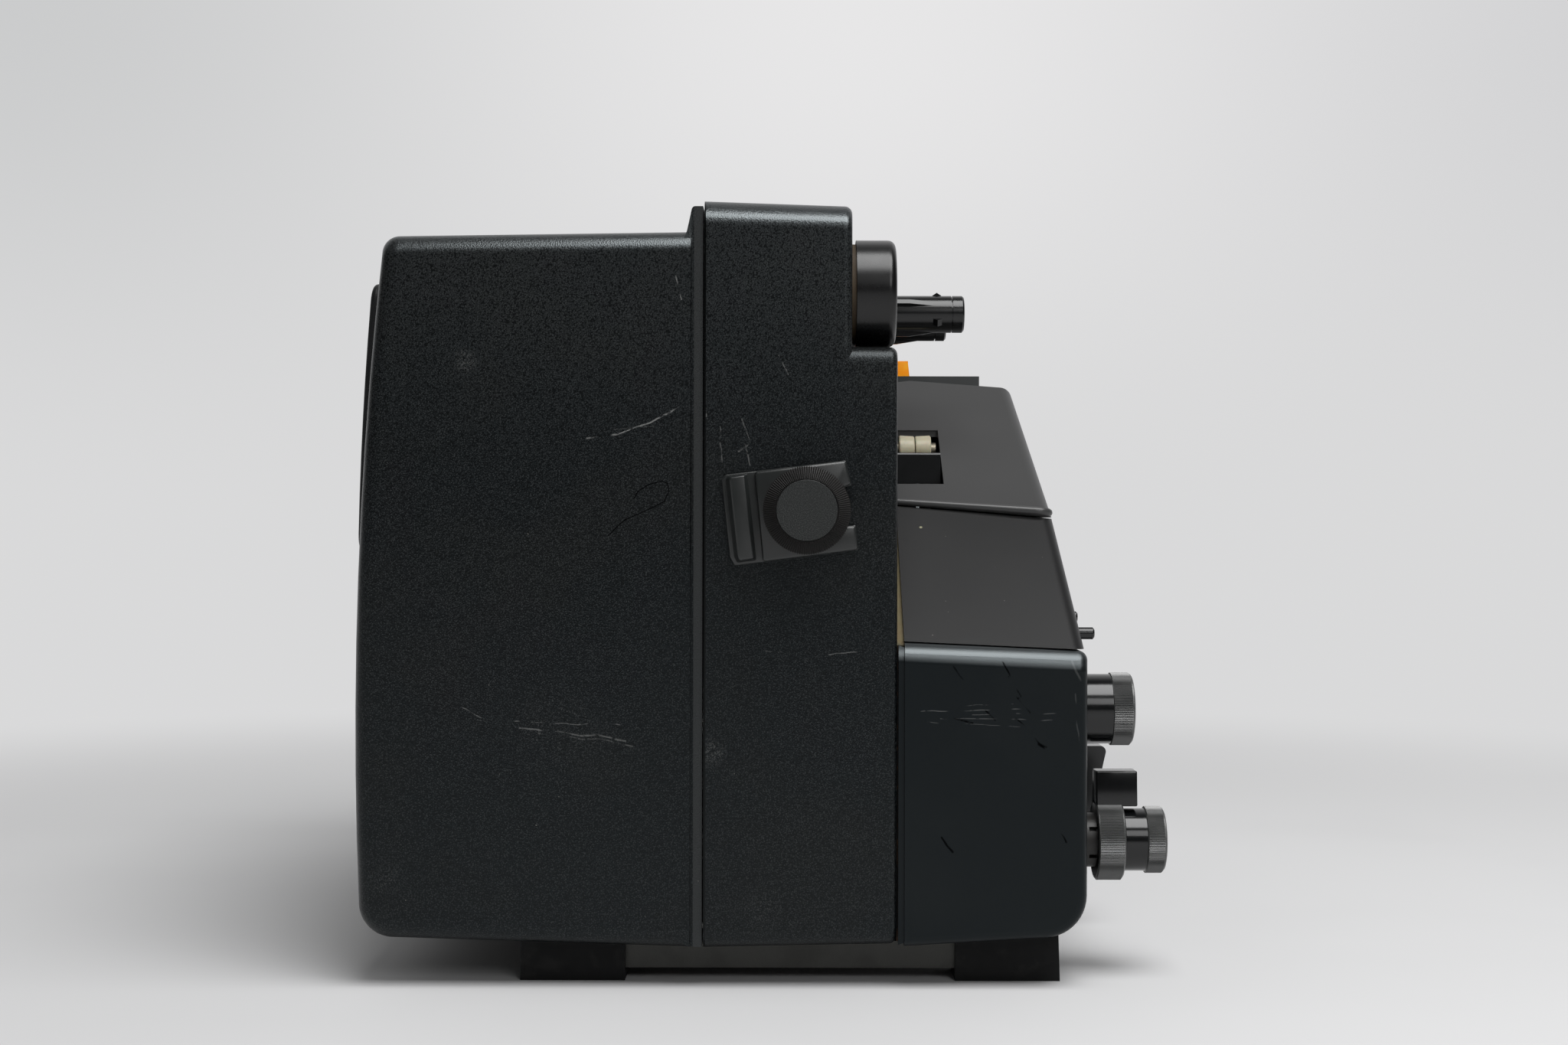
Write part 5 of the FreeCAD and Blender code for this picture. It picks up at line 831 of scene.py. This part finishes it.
def make_lens_grips(grip):
    """Ribbed focusing knob beside the lens and ribbed zoom ring on its barrel."""
    focus = Piece()
    focus.spin([
        (0, 50), (3.5, 50), (3.5, 60.5), (2.4, 60.5), (2.4, 95.2), (8.8, 95.2), (9.2, 95.6),
        (9.2, 106.4), (8.6, 107.2), (7.6, 107.2), (7.3, 106.8), (0, 106.8),
    ])
    focus.ribs(80, (9.22, 95.8), (9.22, 106.3), 0.54)
    focus.fit("focus_grip", "focus_knob", "knob_plastic", grip, facing("X", FOCUS_AT),
              ["focus_knob"])
    zoom = Piece()
    zoom.spin([
        (14.1, 0), (16.2, 0), (16.7, 0.5), (16.7, 12.5), (16.2, 13), (14.1, 13), (14.1, 0),
    ])
    zoom.ribs(120, (16.7, 0.8), (16.7, 12.2), 0.58)
    zoom.fit("zoom_grip", "zoom_ring", "knob_plastic", grip, facing("Y", ZOOM_RING_AT),
             ["zoom_ring"])


# The bead's run along the cover's foot, in millimetres: x, y, z and radius
BEAD_RUN = [
    (45.8, -101.9, 148.9, 1.15), (88.5, -106.4, 146.0, 1.6), (92.4, -106.8, 145.7, 1.7),
    (95.0, -105.6, 145.5, 1.4), (95.7, -102.0, 145.3, 1.1), (95.7, -97.0, 145.1, 1),
    (95.7, 42.2, 145.1, 1),
]


def make_cover_bead(finish):
    """Rounded bead along the foot of the upper film cover, round its corner to the front part."""
    curve = bpy.data.curves.new("bead_line", "CURVE")
    curve.dimensions = "3D"
    curve.bevel_depth = MM
    curve.bevel_resolution = 3
    curve.resolution_u = 8
    curve.use_fill_caps = True
    spline = curve.splines.new("NURBS")
    spline.points.add(len(BEAD_RUN) - 1)
    for point, (x, y, z, radius) in zip(spline.points, BEAD_RUN):
        point.co = (x * MM, y * MM, z * MM, 1)
        point.radius = radius
    spline.order_u = 3
    spline.use_endpoint_u = True
    holder = bpy.data.objects.new("bead_line", curve)
    mesh = bpy.data.meshes.new_from_object(holder)
    bpy.data.objects.remove(holder)
    bead = Piece()
    bead.shape.from_mesh(mesh)
    bpy.data.meshes.remove(mesh)
    bead.fit("cover_bead", "film_door", "film_cover", finish)


def make_camera():
    data = bpy.data.cameras.new("camera")
    data.lens = CAMERA_LENS
    data.sensor_width = CAMERA_SENSOR
    camera = bpy.data.objects.new("camera", data)
    upright = Matrix.Rotation(math.radians(90), 4, "X")
    roll = Matrix.Rotation(math.radians(CAMERA_ROLL), 4, "Z")
    camera.matrix_world = Matrix.Translation(CAMERA_AT) @ upright @ roll
    bpy.context.scene.collection.objects.link(camera)
    bpy.context.scene.camera = camera


def area_light(name, size, power, place, target):
    data = bpy.data.lights.new(name, "AREA")
    data.shape = "RECTANGLE"
    data.size, data.size_y = size
    data.energy = power
    light = bpy.data.objects.new(name, data)
    aim = Vector(target) - Vector(place)
    turn = aim.to_track_quat("-Z", "Y").to_matrix().to_4x4()
    light.matrix_world = Matrix.Translation(place) @ turn
    bpy.context.scene.collection.objects.link(light)


def make_backdrop():
    """A pale wall with a painted pool of light, lightest above the object, and an even light that
    comes from all round.
    """
    world = bpy.data.worlds.new("studio")
    bpy.context.scene.world = world
    world.use_nodes = True
    world.node_tree.nodes.clear()
    room = Nodes(world.node_tree, "Generated")
    across, along, up = (room.axis(letter) for letter in "XYZ")
    left, middle, right = WALL_ACROSS
    # Painted pool of light: the wall lightest in the middle, darker to either side
    half = room.mixed(room.between(across, left, middle), WALL_LEFT, WALL_MIDDLE)
    high = room.mixed(room.between(across, middle, right), half, WALL_RIGHT)
    ahead = room.mixed(room.between(up, *WALL_UP), FAR_FLOOR, high)
    wall = room.mixed(room.between(along, *WALL_ALONG), DARK_ROOM, ahead)
    around = room.mixed(room.between(along, *AMBIENT_ALONG), AMBIENT_FRONT, AMBIENT_BACK)
    light = room.node("Background", {"Color": around}).outputs[0]
    seen = room.node("Background", {"Color": wall}).outputs[0]
    blend = room.node("MixShader", {"Fac": room.seen_share(), 1: light, 2: seen})
    room.node("OutputWorld", {"Surface": blend.outputs[0]})


def make_floor():
    """Pale paper that takes the object's shadow and fades into the wall further off."""
    mesh = bpy.data.meshes.new("floor")
    shape = bmesh.new()
    bmesh.ops.create_circle(shape, cap_ends=True, segments=96, radius=FLOOR_RADIUS)
    shape.to_mesh(mesh)
    shape.free()
    floor = bpy.data.objects.new("floor", mesh)
    bpy.context.scene.collection.objects.link(floor)
    finish = Finish("floor_paper", FLOOR_PAPER, 0.8, Specular_IOR_Level=0.2)
    finish.tint(finish.between(finish.noise(0.25, 3), 0.45, 0.7), PAPER_CLOUDS, 0.5)
    glow = finish.node("Emission", {"Color": (*FAR_FLOOR, 1)}).outputs[0]
    away = finish.between(finish.vector("LENGTH", finish.place), *FLOOR_FADE)
    share = finish.math("MULTIPLY", away, finish.seen_share())
    paper = finish.shader.outputs[0]
    blend = finish.node("MixShader", {"Fac": share, 1: paper, 2: glow})
    finish.feed(finish.tree.nodes["Material Output"].inputs["Surface"], blend.outputs[0])
    mesh.materials.append(finish.material)


def make_stage():
    bpy.context.scene.view_settings.view_transform = "Standard"
    make_backdrop()
    make_floor()
    for lamp in LAMPS:
        area_light(*lamp)


make_camera()
make_stage()
make_finishes_and_pieces()
